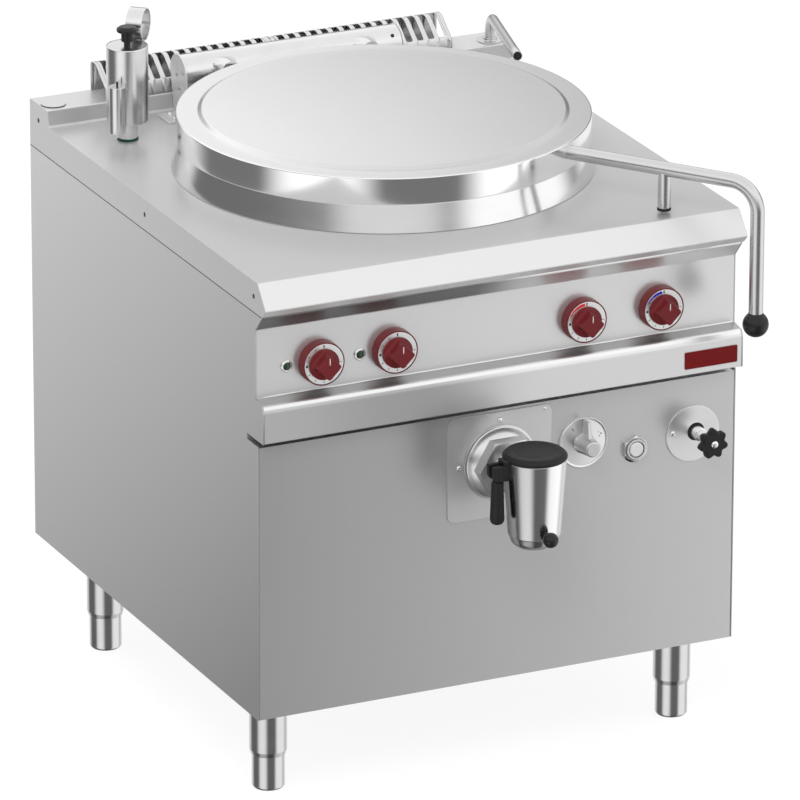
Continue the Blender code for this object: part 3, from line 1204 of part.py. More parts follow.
def make_lever_block(cap_piece):
    """The cap's forked ear on the left of the cup, and the lever that hangs from its pin."""
    high = CUP_TOP_Z - BLOCK_LOW + BLOCK_HEIGHT
    low = CUP_TOP_Z - BLOCK_LOW
    side = BLOCK_WIDTH / 2
    pin_z = (low + high) / 2
    outline = arc((-LEVER_PIN_OUT, pin_z), BLOCK_HEIGHT / 2, math.pi / 2, math.pi * 3 / 2, 8)
    outline += [(-CUP_TOP_R + CUP_WALL / 2, low), (-CUP_TOP_R + CUP_WALL / 2, high)]
    ear = prism(outline, TAP_Y - side, TAP_Y + side, "Y")
    neck = box((-CUP_TOP_R - BLOCK_NECK, TAP_Y - side, high - SHEET),
               (-CUP_TOP_R + CUP_WALL / 2, TAP_Y + side, CUP_TOP_Z + GAP + SHEET))
    boolean(cap_piece, add_cutter("lever_ear", ear), "UNION")
    boolean(cap_piece, add_cutter("lever_ear_neck", neck), "UNION")
    slot = box((-LEVER_PIN_OUT - BLOCK_HEIGHT, TAP_Y - LEVER_SLOT / 2, low - OVERRUN),
               (-LEVER_PIN_OUT + LEVER_TONGUE, TAP_Y + LEVER_SLOT / 2, high + OVERRUN))
    seat_r = CUP_TOP_R + GAP * 2
    boolean(cap_piece, add_cutter("lever_slot", slot))
    trim = ring(CUP_TOP_R - CUP_WALL + GAP, seat_r, low - OVERRUN, CUP_TOP_Z + GAP / 2,
                ROUND_MEDIUM, (0, TAP_Y, 0))
    boolean(cap_piece, add_cutter("lever_ear_seat", trim))
    tongue = LEVER_SLOT / 2 - GAP
    neck_z = low - LEVER_NECK
    outline = arc((-LEVER_PIN_OUT, pin_z), LEVER_TONGUE - GAP * 2, 0, math.pi, 8)
    outline += [(-LEVER_PIN_OUT - LEVER_TONGUE / 2, neck_z),
                (-LEVER_PIN_OUT + LEVER_TONGUE / 2, neck_z)]
    blade = prism(outline, TAP_Y - tongue, TAP_Y + tongue, "Y")
    lever = add_piece("tap_lever", blade, "black", (-LEVER_PIN_OUT, TAP_Y, pin_z))
    tip = pin_z - LEVER_LENGTH
    grip_top = low - GAP * 4
    grip = [(0, grip_top), (LEVER_TOP_R * 2 / 3, grip_top), (LEVER_TOP_R, grip_top - LEVER_TOP_R / 3),
            (LEVER_LOW_R, tip + LEVER_LOW_R), (LEVER_LOW_R * 3 / 4, tip + LEVER_LOW_R / 4),
            (LEVER_LOW_R / 3, tip), (0, tip)]
    handle = turned(grip, ROUND_FINE, (-LEVER_PIN_OUT, TAP_Y, 0))
    boolean(lever, add_cutter("lever_grip", handle), "UNION")


# Selector, push button and star-knob valve

def make_lower_fittings():
    face = ring(SPINDLE_HOLE, SELECTOR_R, 0, SELECTOR_THICK, ROUND_MEDIUM,
                (SELECTOR_X, BOARD_Y, SELECTOR_Z), "-Y")
    add_piece("selector_disc", face, "cast")
    start = BOARD_Y - SELECTOR_THICK - GAP
    behind = LOWER_Y + SHEET + GAP
    deep = start - behind
    hub = [(0, POINTER_DEPTH), (POINTER_TOP_R - POINTER_TIP / 2, POINTER_DEPTH),
           (POINTER_TOP_R, POINTER_DEPTH - POINTER_TIP / 2), (POINTER_HUB_R, 0), (SPINDLE_R, 0),
           (SPINDLE_R, deep), (0, deep)]
    knob = add_piece("selector_knob", turned(hub, ROUND_SMALL, (SELECTOR_X, start, SELECTOR_Z),
                                             "-Y"), "cast", (SELECTOR_X, start, SELECTOR_Z))
    wedge = prism([(SELECTOR_X - POINTER_WIDTH / 2, SELECTOR_Z),
                   (SELECTOR_X + POINTER_WIDTH / 2, SELECTOR_Z),
                   (SELECTOR_X + POINTER_TIP / 2, SELECTOR_Z + POINTER_REACH),
                   (SELECTOR_X - POINTER_TIP / 2, SELECTOR_Z + POINTER_REACH)],
                  start - POINTER_DEPTH * 3 / 4, start, "Y")
    for vert in wedge.verts:
        if vert.co.z > SELECTOR_Z + POINTER_REACH / 2 and vert.co.y < start - POINTER_TIP_DEPTH:
            vert.co.y = start - POINTER_TIP_DEPTH
    boolean(knob, add_cutter("selector_pointer", wedge), "UNION")
    make_button()
    disc_y = BOARD_Y
    plate = add_piece("valve_disc", disc(STAR_DISC_R, 0, STAR_DISC_THICK, ROUND_MEDIUM,
                                         (STAR_DISC_X, disc_y, STAR_DISC_Z), "-Y"), "cast")
    boolean(plate, add_cutter("valve_disc_hole", disc(
        STAR_HOLE_R, 0, STAR_DISC_THICK + OVERRUN * 2, ROUND_SMALL,
        (STAR_X, disc_y + OVERRUN, STAR_Z), "-Y")))
    make_star_knob(behind)
    half = SWITCH_SIDE / 2
    rear = CARRIER_Y + SHEET / 2
    deep = behind + BUTTON_DEPTH + BUTTON_TRAVEL
    return [box((SELECTOR_X - half, behind, SELECTOR_Z - half),
                (SELECTOR_X + half, rear, SELECTOR_Z + half)),
            box((STAR_X - half, behind, STAR_Z - half), (STAR_X + half, rear, STAR_Z + half)),
            box((BUTTON_X - half / 2, deep, BUTTON_Z - half / 2),
                (BUTTON_X + half / 2, rear, BUTTON_Z + half / 2))]


def make_control_carrier(bodies):
    """An L-shaped mounting plate with the switch and valve bodies on its front."""
    edge = SWITCH_SIDE / 2 + CARRIER_EDGE
    right = max(STAR_X, KNOB_XS[-1]) + edge
    left = KNOB_XS[0] - edge
    low = min(STAR_Z, SELECTOR_Z, BUTTON_Z) - edge
    top = KNOB_Z + edge
    shelf = KNOB_Z - edge
    inner = SELECTOR_X - edge
    plate = prism([(left, shelf), (inner, shelf), (inner, low), (right, low), (right, top),
                   (left, top)], CARRIER_Y, CARRIER_Y + SHEET, "Y")
    carrier = add_piece("control_carrier", plate, "black")
    boolean(carrier, add_cutter("control_bodies", merge(*bodies)), "UNION")


def make_button():
    flats = BUTTON_NUT_FLATS / math.sqrt(3)
    hexagon = polygon(flats, 6, math.pi / 6, (BUTTON_X, BUTTON_Z))
    front = BOARD_Y - BUTTON_NUT_THICK
    nut = add_piece("button_nut", prism(hexagon, front, BOARD_Y, "Y"), "cast")
    collar = disc(BUTTON_RING_R, 0, BUTTON_RING + SHEET, ROUND_MEDIUM,
                  (BUTTON_X, front + SHEET, BUTTON_Z), "-Y")
    boolean(nut, add_cutter("button_ring", collar), "UNION")
    boolean(nut, add_cutter("button_bore", disc(
        BUTTON_R + GAP, 0, BUTTON_NUT_THICK + OVERRUN * 2, ROUND_SMALL,
        (BUTTON_X, BOARD_Y + OVERRUN, BUTTON_Z), "-Y")))
    tip = front - BUTTON_RING - BUTTON_PROUD
    tail = LOWER_Y + SHEET + GAP + BUTTON_DEPTH - GAP
    button = disc(BUTTON_R, 0, tail - tip, ROUND_SMALL, (BUTTON_X, tail, BUTTON_Z), "-Y")
    add_piece("push_button", button, "cast", (BUTTON_X, tip, BUTTON_Z))


def make_star_knob(behind):
    """A lobed knob on a stem that runs back through a gland to the valve's body."""
    tail = behind - GAP
    length = tail - (LOWER_Y - STAR_REACH)
    gland = tail - (LOWER_Y - STAR_GLAND)
    stem = [(0, length), (STAR_COLLAR_R, length), (STAR_COLLAR_R, length - STAR_COLLAR),
            (STAR_STEM_R, length - STAR_COLLAR), (STAR_STEM_R, gland), (STAR_GLAND_R, gland),
            (STAR_GLAND_R, 0), (0, 0)]
    knob = add_piece("star_knob", turned(stem, ROUND_FINE, (STAR_X, tail, STAR_Z), "-Y"), "black",
                     (STAR_X, LOWER_Y, STAR_Z))
    outline = []
    steps = STAR_LOBES * 6
    for step in range(steps):
        turn = math.tau * step / steps
        wave = (1 + math.cos(STAR_LOBES * turn)) / 2
        size = STAR_VALLEY + (STAR_R - STAR_VALLEY) * wave
        outline.append((STAR_X + size * math.sin(turn), STAR_Z + size * math.cos(turn)))
    front = LOWER_Y - STAR_REACH - STAR_THICK
    star = prism(outline, front, front + STAR_THICK + SHEET, "Y")
    boolean(knob, add_cutter("star_lobes", star), "UNION")
    dome = [(0, STAR_SCREW), (STAR_SCREW_R * 2 / 3, STAR_SCREW * 3 / 4), (STAR_SCREW_R, 0),
            (STAR_SCREW_R, -SHEET), (0, -SHEET)]
    cap = turned(dome, ROUND_FINE, (STAR_X, front, STAR_Z), "-Y")
    boolean(knob, add_cutter("star_screw", cap), "UNION")


HINGE = (0, HINGE_Y, HINGE_Z)

make_worktop()
make_side_panels()
make_back_panel()
make_control_panel()
make_lower_panel()
make_base_tray()
make_legs()
make_kettle()
make_jacket()
make_heaters()
lid_hinge = bpy.data.objects.new("lid_hinge", None)
lid_hinge.parent = machine
bpy.context.collection.objects.link(lid_hinge)
make_lid(lid_hinge)
make_hinge_tube(lid_hinge)
make_hinge_brackets()
make_spring()
make_handle(lid_hinge)
make_grille()
make_spout()
make_safety_valve()
make_riser()
panel_bodies = make_controls()
make_tap()
lower_bodies = make_lower_fittings()
make_control_carrier(panel_bodies + lower_bodies)
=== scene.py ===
import math

import bmesh
import bpy
import numpy as np
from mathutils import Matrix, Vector


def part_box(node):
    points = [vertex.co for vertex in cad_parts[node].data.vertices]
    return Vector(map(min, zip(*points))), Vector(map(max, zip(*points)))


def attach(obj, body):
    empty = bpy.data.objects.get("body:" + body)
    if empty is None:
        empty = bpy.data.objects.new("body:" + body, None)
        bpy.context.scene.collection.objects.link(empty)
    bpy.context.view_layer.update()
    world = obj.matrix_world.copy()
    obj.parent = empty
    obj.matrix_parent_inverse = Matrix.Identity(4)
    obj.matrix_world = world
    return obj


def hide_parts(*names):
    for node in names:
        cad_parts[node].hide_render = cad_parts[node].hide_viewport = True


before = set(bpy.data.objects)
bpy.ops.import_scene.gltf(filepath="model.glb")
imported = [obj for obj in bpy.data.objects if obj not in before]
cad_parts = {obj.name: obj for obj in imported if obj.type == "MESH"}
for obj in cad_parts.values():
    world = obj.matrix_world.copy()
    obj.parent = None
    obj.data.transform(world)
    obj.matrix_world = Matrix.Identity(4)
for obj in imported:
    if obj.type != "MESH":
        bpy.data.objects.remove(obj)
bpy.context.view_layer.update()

# The shapes below are in millimetres and in the machine's own axes, whose y = 0 is the kettle's
# centre line. MM and KETTLE_Y, which is in metres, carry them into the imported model's frame.
MM = 0.001
KETTLE_Y = (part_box("lid")[0].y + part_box("lid")[1].y) / 2
SEAM = 1e-6         # metres between points that count as one
SUPPORT = 0.6       # straight piece beside an arc
ARC_FILL = 0.94     # most of a side that its two arcs take up
SHEET_CREASE = 30   # degrees from which an edge of a packed sheet stays sharp
NOSE_Y = -443       # the worktop's front
TAU = math.tau


# Surfaces as grids of points

def grid(points, wrap_rows=False, wrap_columns=True):
    """Points and quads of a grid: point (i, j) joins (i + 1, j) and (i, j + 1), and a wrapped
    direction joins its last line to its first."""
    rows, columns = points.shape[:2]
    i = np.arange(rows if wrap_rows else rows - 1)[:, None]
    j = np.arange(columns if wrap_columns else columns - 1)[None, :]
    down, right = (i + 1) % rows, (j + 1) % columns
    quads = np.stack([i * columns + j, i * columns + right, down * columns + right,
                      down * columns + j], axis=-1)
    return points.reshape(-1, 3), quads.reshape(-1, 4)


def skin(loops):
    """A closed body from loops of points laid one after another: each loop is a row of the
    grid, and both ends are closed by a row that is drawn together to the loop's middle."""
    first = np.broadcast_to(loops[:1].mean(1, keepdims=True), loops[:1].shape)
    last = np.broadcast_to(loops[-1:].mean(1, keepdims=True), loops[-1:].shape)
    return grid(np.concatenate([first, loops, last]))


def rounded(corners, radii, steps=6, closed=False):
    """A flat line through corners. An arc that touches both sides replaces each corner: its
    centre lies radius / sin(half the corner's angle) from the corner on the bisector. Arcs that
    would meet are made smaller, and a short straight piece stands on both sides of each."""
    corners = np.asarray(corners, float)
    ahead = np.roll(corners, -1, axis=0) - corners
    length = np.linalg.norm(ahead, axis=1)
    ahead /= np.maximum(length, SEAM)[:, None]
    back = -np.roll(ahead, 1, axis=0)
    half = np.arccos(np.clip((back * ahead).sum(1), -1, 1)) / 2
    turn = math.pi - 2 * half
    curved = (turn > 0.01) & (np.minimum(length, np.roll(length, 1)) > SEAM)
    if not closed:
        curved[[0, -1]] = False
    radii = np.where(curved, radii, 0)
    reach = radii / np.tan(np.maximum(half, SEAM))
    room = ARC_FILL * length / np.maximum(reach + np.roll(reach, -1), SEAM)
    shrink = np.minimum(1, np.minimum(room, np.roll(room, 1)))
    radii, reach = radii * shrink, reach * shrink
    support = np.minimum(SUPPORT, (length - reach - np.roll(reach, -1)) / 3)
    line = []
    for index, corner in enumerate(corners):
        if radii[index] == 0:
            line.append(corner[None])
            continue
        into, out, angle = back[index], ahead[index], turn[index]
        bisector = (into + out) / np.linalg.norm(into + out)
        centre = corner + bisector * radii[index] / math.sin(half[index])
        first, last = corner + into * reach[index], corner + out * reach[index]
        t = np.linspace(0, 1, steps + 1)[:, None]
        arc = centre + (np.sin((1 - t) * angle) * (first - centre)
                        + np.sin(t * angle) * (last - centre)) / math.sin(angle)
        line += [arc[:1] + into * support[index - 1], arc, arc[-1:] + out * support[index]]
    return np.concatenate(line)


def joined(*parts):
    """Points from their coordinates."""
    return np.stack(np.broadcast_arrays(*parts), axis=-1)


def around(turns):
    """Angles that go round once."""
    return np.linspace(0, TAU, turns, endpoint=False)


def heading(degrees):
    """A level direction, by its angle from +X."""
    return np.array([math.cos(math.radians(degrees)), math.sin(math.radians(degrees)), 0])


def placed(across, up, along, axis):
    """Coordinates of a shape whose own axis runs along Z, X or towards the viewer, -Y."""
    order = {"Z": (across, up, along), "X": (along, across, up), "-Y": (across, -along, up)}
    return joined(*order[axis])


def turned(outline, place=(0, 0, 0), axis="Z", turns=96, hollow=False):
    """A turned body: a point (r, h) of the outline goes round the axis to
    (r cos t, r sin t, h). A hollow one closes on itself, another starts and ends at r = 0."""
    t = around(turns)
    radius, height = np.asarray(outline, float).T[:, :, None]
    points = placed(radius * np.cos(t), radius * np.sin(t), height, axis) + place
    return grid(points, wrap_rows=hollow)


def lathe(corners, radii, steps=6, place=(0, 0, 0), axis="Z", turns=96, closed=False):
    """A turned body from an outline's corners and their radii."""
    return turned(rounded(corners, radii, steps, closed), place, axis, turns, closed)


def peg(radius, low, high, edge, steps, place=(0, 0, 0), axis="Z", turns=96):
    """A round bar or disc."""
    corners = [(0, high), (radius, high), (radius, low), (0, low)]
    return lathe(corners, edge, steps, place, axis, turns)


def inset_loop(outline, inset):
    """A closed counter-clockwise outline moved inwards: each point goes along the mitre of its
    two sides' outward normals, minus the inset."""
    ahead = np.roll(outline, -1, axis=0) - outline
    ahead /= np.linalg.norm(ahead, axis=1, keepdims=True)
    normal = np.stack([ahead[:, 1], -ahead[:, 0]], axis=1)
    before = np.roll(normal, 1, axis=0)
    mitre = (normal + before) / (1 + (normal * before).sum(1, keepdims=True))
    return outline - mitre * inset


def slab(outline, low, high, axis, edge=0.5, steps=3):
    """A flat plate: the outline, inset by edge (1 - sin t), stands at low + edge (1 - cos t),
    for t from 0 to a quarter turn, and the same again below high."""
    t = np.linspace(0, math.pi / 2, steps + 1)
    insets = np.concatenate([[edge + SUPPORT], edge * (1 - np.sin(t))])
    rises = np.concatenate([[0], edge * (1 - np.cos(t))])
    loops = []
    for inset, level in zip(np.concatenate([insets, insets[::-1]]),
                            np.concatenate([low + rises, high - rises[::-1]])):
        loop = inset_loop(outline, inset)
        order = {"X": (level, loop[:, 0], loop[:, 1]), "Y": (loop[:, 0], level, loop[:, 1]),
                 "Z": (loop[:, 0], loop[:, 1], level)}
        loops.append(joined(*order[axis]))
    return skin(np.array(loops))


def rounded_box(width, height, radius, centre=(0, 0), steps=6):
    """A rectangle's outline whose corners are arcs."""
    x, y = centre
    corners = [(x + width / 2, y - height / 2), (x + width / 2, y + height / 2),
               (x - width / 2, y + height / 2), (x - width / 2, y - height / 2)]
    return rounded(corners, radius, steps, closed=True)


def swept(path, radius, side, sides=40, edge=0.6):
    """A rod: a circle of the path's radius stands square to it at every point, as
    point + r (cos t side + sin t (side x way)). Its path lies in the plane that side is square
    to, and its ends are rounded."""
    path = np.asarray(path, float)
    radius = np.broadcast_to(radius, len(path)).astype(float)
    side = np.asarray(side, float) / np.linalg.norm(side)
    way = np.gradient(path, axis=0)
    way /= np.linalg.norm(way, axis=1, keepdims=True)
    turn = np.linspace(0, math.pi / 2, 4)
    drop, advance = edge * (1 - np.sin(turn)), edge * (1 - np.cos(turn))
    points = np.concatenate([path[:1] + way[:1] * advance[:, None], path[1:-1],
                             path[-1:] - way[-1:] * advance[::-1, None]])
    ways = np.concatenate([np.repeat(way[:1], 4, 0), way[1:-1], np.repeat(way[-1:], 4, 0)])
    sizes = np.concatenate([radius[:1] - drop, radius[1:-1], radius[-1:] - drop[::-1]])
    t = around(sides)[:, None]
    over = np.cross(side, ways)[:, None]
    loops = points[:, None] + sizes[:, None, None] * (np.cos(t) * side + np.sin(t) * over)
    return skin(loops)


def bend(start, corner, end, radius, steps=16):
    """A path round a corner: two straight sides and an arc that touches both."""
    start, corner, end = (np.asarray(point, float) for point in (start, corner, end))
    into = (corner - start) / np.linalg.norm(corner - start)
    out = (end - corner) / np.linalg.norm(end - corner)
    turn = math.acos(into @ out)
    reach = radius * math.tan(turn / 2)
    inward = out - into * (into @ out)
    centre = corner - into * reach + inward / np.linalg.norm(inward) * radius
    first, last = corner - into * reach - centre, corner + out * reach - centre
    t = np.linspace(0, 1, steps + 1)[:, None]
    arc = centre + (np.sin((1 - t) * turn) * first + np.sin(t * turn) * last) / math.sin(turn)
    lead = start + (arc[0] - start) * np.linspace(0, 1, 8)[:-1, None]
    tail = arc[-1] + (end - arc[-1]) * np.linspace(0, 1, 8)[1:, None]
    return np.concatenate([lead, arc, tail])


# Pieces

def build_mesh(name, points, quads, closed=True):
    """A mesh whose seams and poles are merged and, if it is closed, whose faces look outwards."""
    mesh = bpy.data.meshes.new(name)
    mesh.from_pydata(points.tolist(), [], quads.tolist())
    shape = bmesh.new()
    shape.from_mesh(mesh)
    bmesh.ops.remove_doubles(shape, verts=shape.verts, dist=SEAM)
    if closed:
        bmesh.ops.recalc_face_normals(shape, faces=shape.faces)
    shape.to_mesh(mesh)
    shape.free()
    return mesh


def dress(mesh, finish, crease):
    mesh.materials.clear()
    mesh.materials.append(bpy.data.materials[finish])
    mesh.shade_smooth()
    mesh.set_sharp_from_angle(angle=math.radians(crease))


def place_object(name, data):
    thing = bpy.data.objects.new(name, data)
    bpy.context.scene.collection.objects.link(thing)
    return thing


def settle(name, mesh, body, node):
    """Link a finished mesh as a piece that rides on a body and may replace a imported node."""
    piece = place_object(name, mesh)
    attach(piece, body)
    if node:
        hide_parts(node)
    return piece


def add(name, surfaces, finish, body="cabinet", node=None, crease=38):
    """Join surfaces into one piece."""
    starts = np.cumsum([0] + [len(points) for points, _ in surfaces])
    points = np.concatenate([points for points, _ in surfaces]) * MM + (0, KETTLE_Y, 0)
    quads = np.concatenate([quads + start for (_, quads), start in zip(surfaces, starts)])
    mesh = build_mesh(name, points, quads)
    dress(mesh, finish, crease)
    return settle(name, mesh, body, node)


def soften(node, finish, bends=(), width=1.5):
    """A copy of a packed sheet whose bent edges are rounded. A bend is an axis and the two
    other coordinates of the edges that run along it."""
    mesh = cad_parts[node].data.copy()
    mesh.name = node + "_sheet"
    shape = bmesh.new()
    shape.from_mesh(mesh)
    bmesh.ops.remove_doubles(shape, verts=shape.verts, dist=SEAM * 10)
    bmesh.ops.dissolve_limit(shape, angle_limit=0.004, verts=shape.verts, edges=shape.edges)
    weights = shape.edges.layers.float.new("bevel_weight_edge")
    for edge in shape.edges:
        way = edge.verts[1].co - edge.verts[0].co
        middle = (edge.verts[0].co + edge.verts[1].co) / 2 - Vector((0, KETTLE_Y, 0))
        for axis, first, second in bends:
            along = "XYZ".index(axis)
            rest = [middle[k] / MM for k in range(3) if k != along]
            if abs(way[along]) > way.length * 0.999 and math.dist(rest, (first, second)) < 0.6:
                edge[weights] = 1
    shape.to_mesh(mesh)
    shape.free()
    dress(mesh, finish, SHEET_CREASE)
    if bends:
        mesh.shade_flat()
    piece = settle(node + "_sheet", mesh, "cabinet", node)
    if bends:
        bevel = piece.modifiers.new("bent_edges", "BEVEL")
        bevel.limit_method = "WEIGHT"
        bevel.width = width * MM
        bevel.segments = 4
        bevel.use_clamp_overlap = False


# Materials, whose places are metres on Object coordinates

ACROSS, WIDTH = (1, 0, 0), (-0.4, 0.4)
UPRIGHT, LEVEL, RINGS = (260, 260, 9), (9, 300, 300), (9, 9, 900)   # how fine a grain is by axis


class Wire:
    """A socket with arithmetic: an expression on wires adds its nodes."""

    def __init__(self, tree, socket):
        self.tree = tree
        self.socket = socket

    def combine(self, operation, first, second):
        return add_node(self.tree, "Math", {"operation": operation}, [first, second])

    def __add__(self, other):
        return self.combine("ADD", self, other)

    __radd__ = __add__

    def __mul__(self, other):
        return self.combine("MULTIPLY", self, other)

    __rmul__ = __mul__

    def __sub__(self, other):
        return self.combine("SUBTRACT", self, other)

    def __rsub__(self, other):
        return self.combine("SUBTRACT", other, self)

    def step(self, low, high, to_low=0, to_high=1, interpolation="SMOOTHSTEP"):
        """A step between two bounds, smooth or else linear."""
        return add_node(self.tree, "MapRange", {"interpolation_type": interpolation},
                        {"Value": self, "From Min": low, "From Max": high,
                         "To Min": to_low, "To Max": to_high})

    def mix(self, first, second):
        """A colour between two, by this share."""
        colours = {0: self, 6: first, 7: second}
        return add_node(self.tree, "Mix", {"data_type": "RGBA"}, colours, 2)


def plug(tree, socket, value):
    """Feed a socket a wire or a constant. One number stands for a grey."""
    if isinstance(value, Wire):
        tree.links.new(value.socket, socket)
    elif socket.type == "RGBA":
        socket.default_value = (*np.broadcast_to(value, 3), 1)
    else:
        socket.default_value = value


def add_node(tree, kind, settings, inputs, output=0):
    """Any node: its settings first, then its sockets, by place or by name."""
    node = tree.nodes.new("ShaderNode" + kind)
    for name, value in settings.items():
        setattr(node, name, value)
    pairs = inputs.items() if isinstance(inputs, dict) else enumerate(inputs)
    for key, value in pairs:
        plug(tree, node.inputs[key], value)
    return Wire(tree, node.outputs[output])


def vector_math(tree, operation, inputs, output=0):
    return add_node(tree, "VectorMath", {"operation": operation}, inputs, output)


def object_place(tree):
    return add_node(tree, "TexCoord", {}, [], "Object")


def split(tree, vector):
    """The three parts of a vector."""
    node = add_node(tree, "SeparateXYZ", {}, [vector]).socket.node
    return [Wire(tree, part) for part in node.outputs]


def noise(tree, scale, stretch=(1, 1, 1), detail=3):
    """Noise from 0 to 1 on Object coordinates, drawn out along the axis that stretch is low on."""
    where = add_node(tree, "Mapping", {}, {"Vector": object_place(tree), "Scale": stretch})
    return add_node(tree, "TexNoise", {}, {"Vector": where, "Scale": scale, "Detail": detail},
                    "Fac")


def bump(tree, strength, distance, height):
    return add_node(tree, "Bump", {}, {"Strength": strength, "Distance": distance,
                                       "Height": height})


def paint(tree, **values):
    """Feed the shader's sockets, whose names have _ for a space here."""
    for key, value in values.items():
        plug(tree, tree.nodes["Principled BSDF"].inputs[key.replace("_", " ")], value)


def base_colour(tree):
    """What feeds the shader's colour so far."""
    return Wire(tree, tree.nodes["Principled BSDF"].inputs["Base Color"].links[0].from_socket)


def start_material(name, **constants):
    material = bpy.data.materials.new(name)
    material.use_nodes = True
    paint(material.node_tree, **constants)
    return material.node_tree


def brushed_steel(name, painted_shade_greys, way, span, roughness, grain, metallic=1):
    """Sheet steel with painted light and shade: its grey runs from one to another along a
    direction, as the height of a point along it runs over the span, in place of how light falls
    across the sheet. Hair-fine streaks lift colour and roughness a little, and a broad cloud keeps
    a large sheet from looking printed."""
    tree = start_material(name, Metallic=metallic)
    streak = noise(tree, 1, grain, 4)
    uneven = (streak - 0.5) * 0.06 + (noise(tree, 3) - 0.5) * 0.05
    height = vector_math(tree, "DOT_PRODUCT", [object_place(tree), way], "Value")
    # painted light and shade: the share of the second grey grows along the direction over the span
    share = height.step(*span, interpolation="LINEAR")
    paint(tree, Roughness=uneven + roughness, Normal=bump(tree, 0.25, 4e-6, streak),
          Base_Color=(share + uneven * 0.9).mix(*painted_shade_greys))
    return tree


def shadow_gap(tree, metallic, start, end):
    """Paints shade on a sheet above a height: a near-black band without metal is the painted
    shadow in the gap that it leaves to the sheet above it.
    """
    gap = split(tree, object_place(tree))[2].step(start, end)
    paint(tree, Base_Color=gap.mix(base_colour(tree), (0.015, 0.015, 0.016)),
          Metallic=(1 - gap) * metallic)


def panel_finish():
    """The control panel: a satin face, a little lighter to the right, a brow above z = 0.773 that
    is painted dark on the left and with a painted highlight on the right, a fascia below z = 0.655
    whose painted shade is deepest left of its middle and lifts towards the right, and painted
    shade on the ledge between the face and the fascia."""
    tree = brushed_steel("panel_steel", (0.74, 0.82), ACROSS, WIDTH, 0.26, UPRIGHT)
    across, _, height = split(tree, object_place(tree))
    brow = height.step(0.7725, 0.7745)
    fascia = height.step(0.655, 0.653)
    ledge = height.step(0.6597, 0.6603) * height.step(0.6646, 0.6639)
    # painted shade on the fascia: darkest left of the middle, lighter towards the right
    below = across.step(-0.38, -0.18).mix(0.46, 0.37)
    below = across.step(-0.15, 0.06).mix(below, 0.7)
    # painted shade and highlight on the brow: dark on the left, light on the right
    above = across.step(-0.05, 0.06).mix(0.24, 0.96)
    shade = brow.mix(fascia.mix(base_colour(tree), below), above)
    # painted shade darkens the ledge
    paint(tree, Base_Color=ledge.mix(shade, 0.4), Metallic=0.85 - fascia * 0.3,
          Roughness=0.3 - brow * 0.02)


def worktop_finish():
    """The worktop, with painted shade: its flat top, between z = 0.849 and 0.852 and behind the
    nose's fold, is painted darker towards the nose, and the skirts and the upstand's front are
    painted darker too."""
    tree = brushed_steel("worktop_steel", (0.68, 0.69), ACROSS, WIDTH, 0.36, LEVEL, 0.5)
    across, back, height = split(tree, object_place(tree))
    aside = add_node(tree, "Math", {"operation": "ABSOLUTE"}, [across])
    nose = NOSE_Y * MM + KETTLE_Y
    flat = (height.step(0.849, 0.8496) * height.step(0.852, 0.851)
            * back.step(nose + 0.026, nose + 0.032) * aside.step(0.3999, 0.3994))
    skirt = aside.step(0.399, 0.3995) * back.step(0.55, -0.45, 0.1, 1)
    step = (height.step(0.8525, 0.8535) * height.step(0.8755, 0.8745)
            * aside.step(0.3993, 0.3985))
    # painted shade: darker towards the nose, on the skirts and on the upstand's front
    top = back.step(0.48, -0.2).mix(0.9, 0.7)
    shade = skirt.mix(flat.mix(1, top), 0.78)
    shade = step.mix(shade, 0.66)
    paint(tree, Base_Color=vector_math(tree, "MULTIPLY", [base_colour(tree), shade]))


def lid_finish():
    """The lid: a satin top with painted shade, whose grey falls off towards the handle, and a
    buffed band below it.
    """
    tree = brushed_steel("lid_steel", (0.82, 0.44), (0.905, -0.426, 0), (-0.35, 0.36), 0.3,
                         (120, 120, 120))
    top = split(tree, object_place(tree))[2].step(0.9345, 0.9368)
    wipe = noise(tree, 9, (1, 1, 3))
    paint(tree, Base_Color=top.mix(0.94, base_colour(tree)),
          Roughness=top * 0.16 + 0.13 + (wipe - 0.5) * 0.04)


def polished_steel(name, grey, roughness, grain):
    """Turned and buffed steel: faint rings round the axis and soft wipe marks in the gloss."""
    tree = start_material(name, Metallic=1)
    rings = noise(tree, 1, grain, 2)
    wipe = noise(tree, 14, (1, 1, 2.5), 4)
    paint(tree, Roughness=(rings - 0.5) * 0.05 + (wipe - 0.5) * 0.05 + roughness,
          Base_Color=wipe.mix(grey * 0.94, grey * 1.04))


def moulded(name, colour, roughness, grain_depth, coat=0, spread=0.25):
    """Moulded plastic: a fine leathery grain in the surface and slightly uneven gloss."""
    tree = start_material(name, Metallic=0, Coat_Weight=coat, Coat_Roughness=0.25,
                          Specular_IOR_Level=0.2)
    grain = noise(tree, 1400, detail=2)
    cloud = noise(tree, 60)
    dark, light = (np.multiply(colour, 1 + way * spread) for way in (-1, 1))
    paint(tree, Base_Color=(cloud * 0.6 + grain * 0.4).mix(dark, light),
          Roughness=(cloud - 0.5) * 0.12 + roughness, Normal=bump(tree, 0.35, grain_depth, grain))


def cast_steel(name, grey, roughness):
    """Bead-blasted fittings: an even, very fine pitted surface."""
    tree = start_material(name, Metallic=1)
    pits = noise(tree, 2200, detail=2)
    paint(tree, Base_Color=noise(tree, 30).mix(grey * 0.93, grey * 1.06),
          Roughness=(pits - 0.5) * 0.12 + roughness, Normal=bump(tree, 0.3, 3e-5, pits))


# Painted shade on the side, back and base sheets: their grey falls towards the front and the
# floor, and a painted shadow darkens a thin band along their top.
side = brushed_steel("side_steel", (0.29, 0.79), (0, 0.6, 0.8), (-0.045, 0.955), 0.42, UPRIGHT,
                     0.6)
shadow_gap(side, 0.6, 0.7992, 0.7996)
# Painted light: the lower front panel grows lighter from left to right.
brushed_steel("front_steel", (0.37, 0.6), ACROSS, WIDTH, 0.32, UPRIGHT, 0.7)
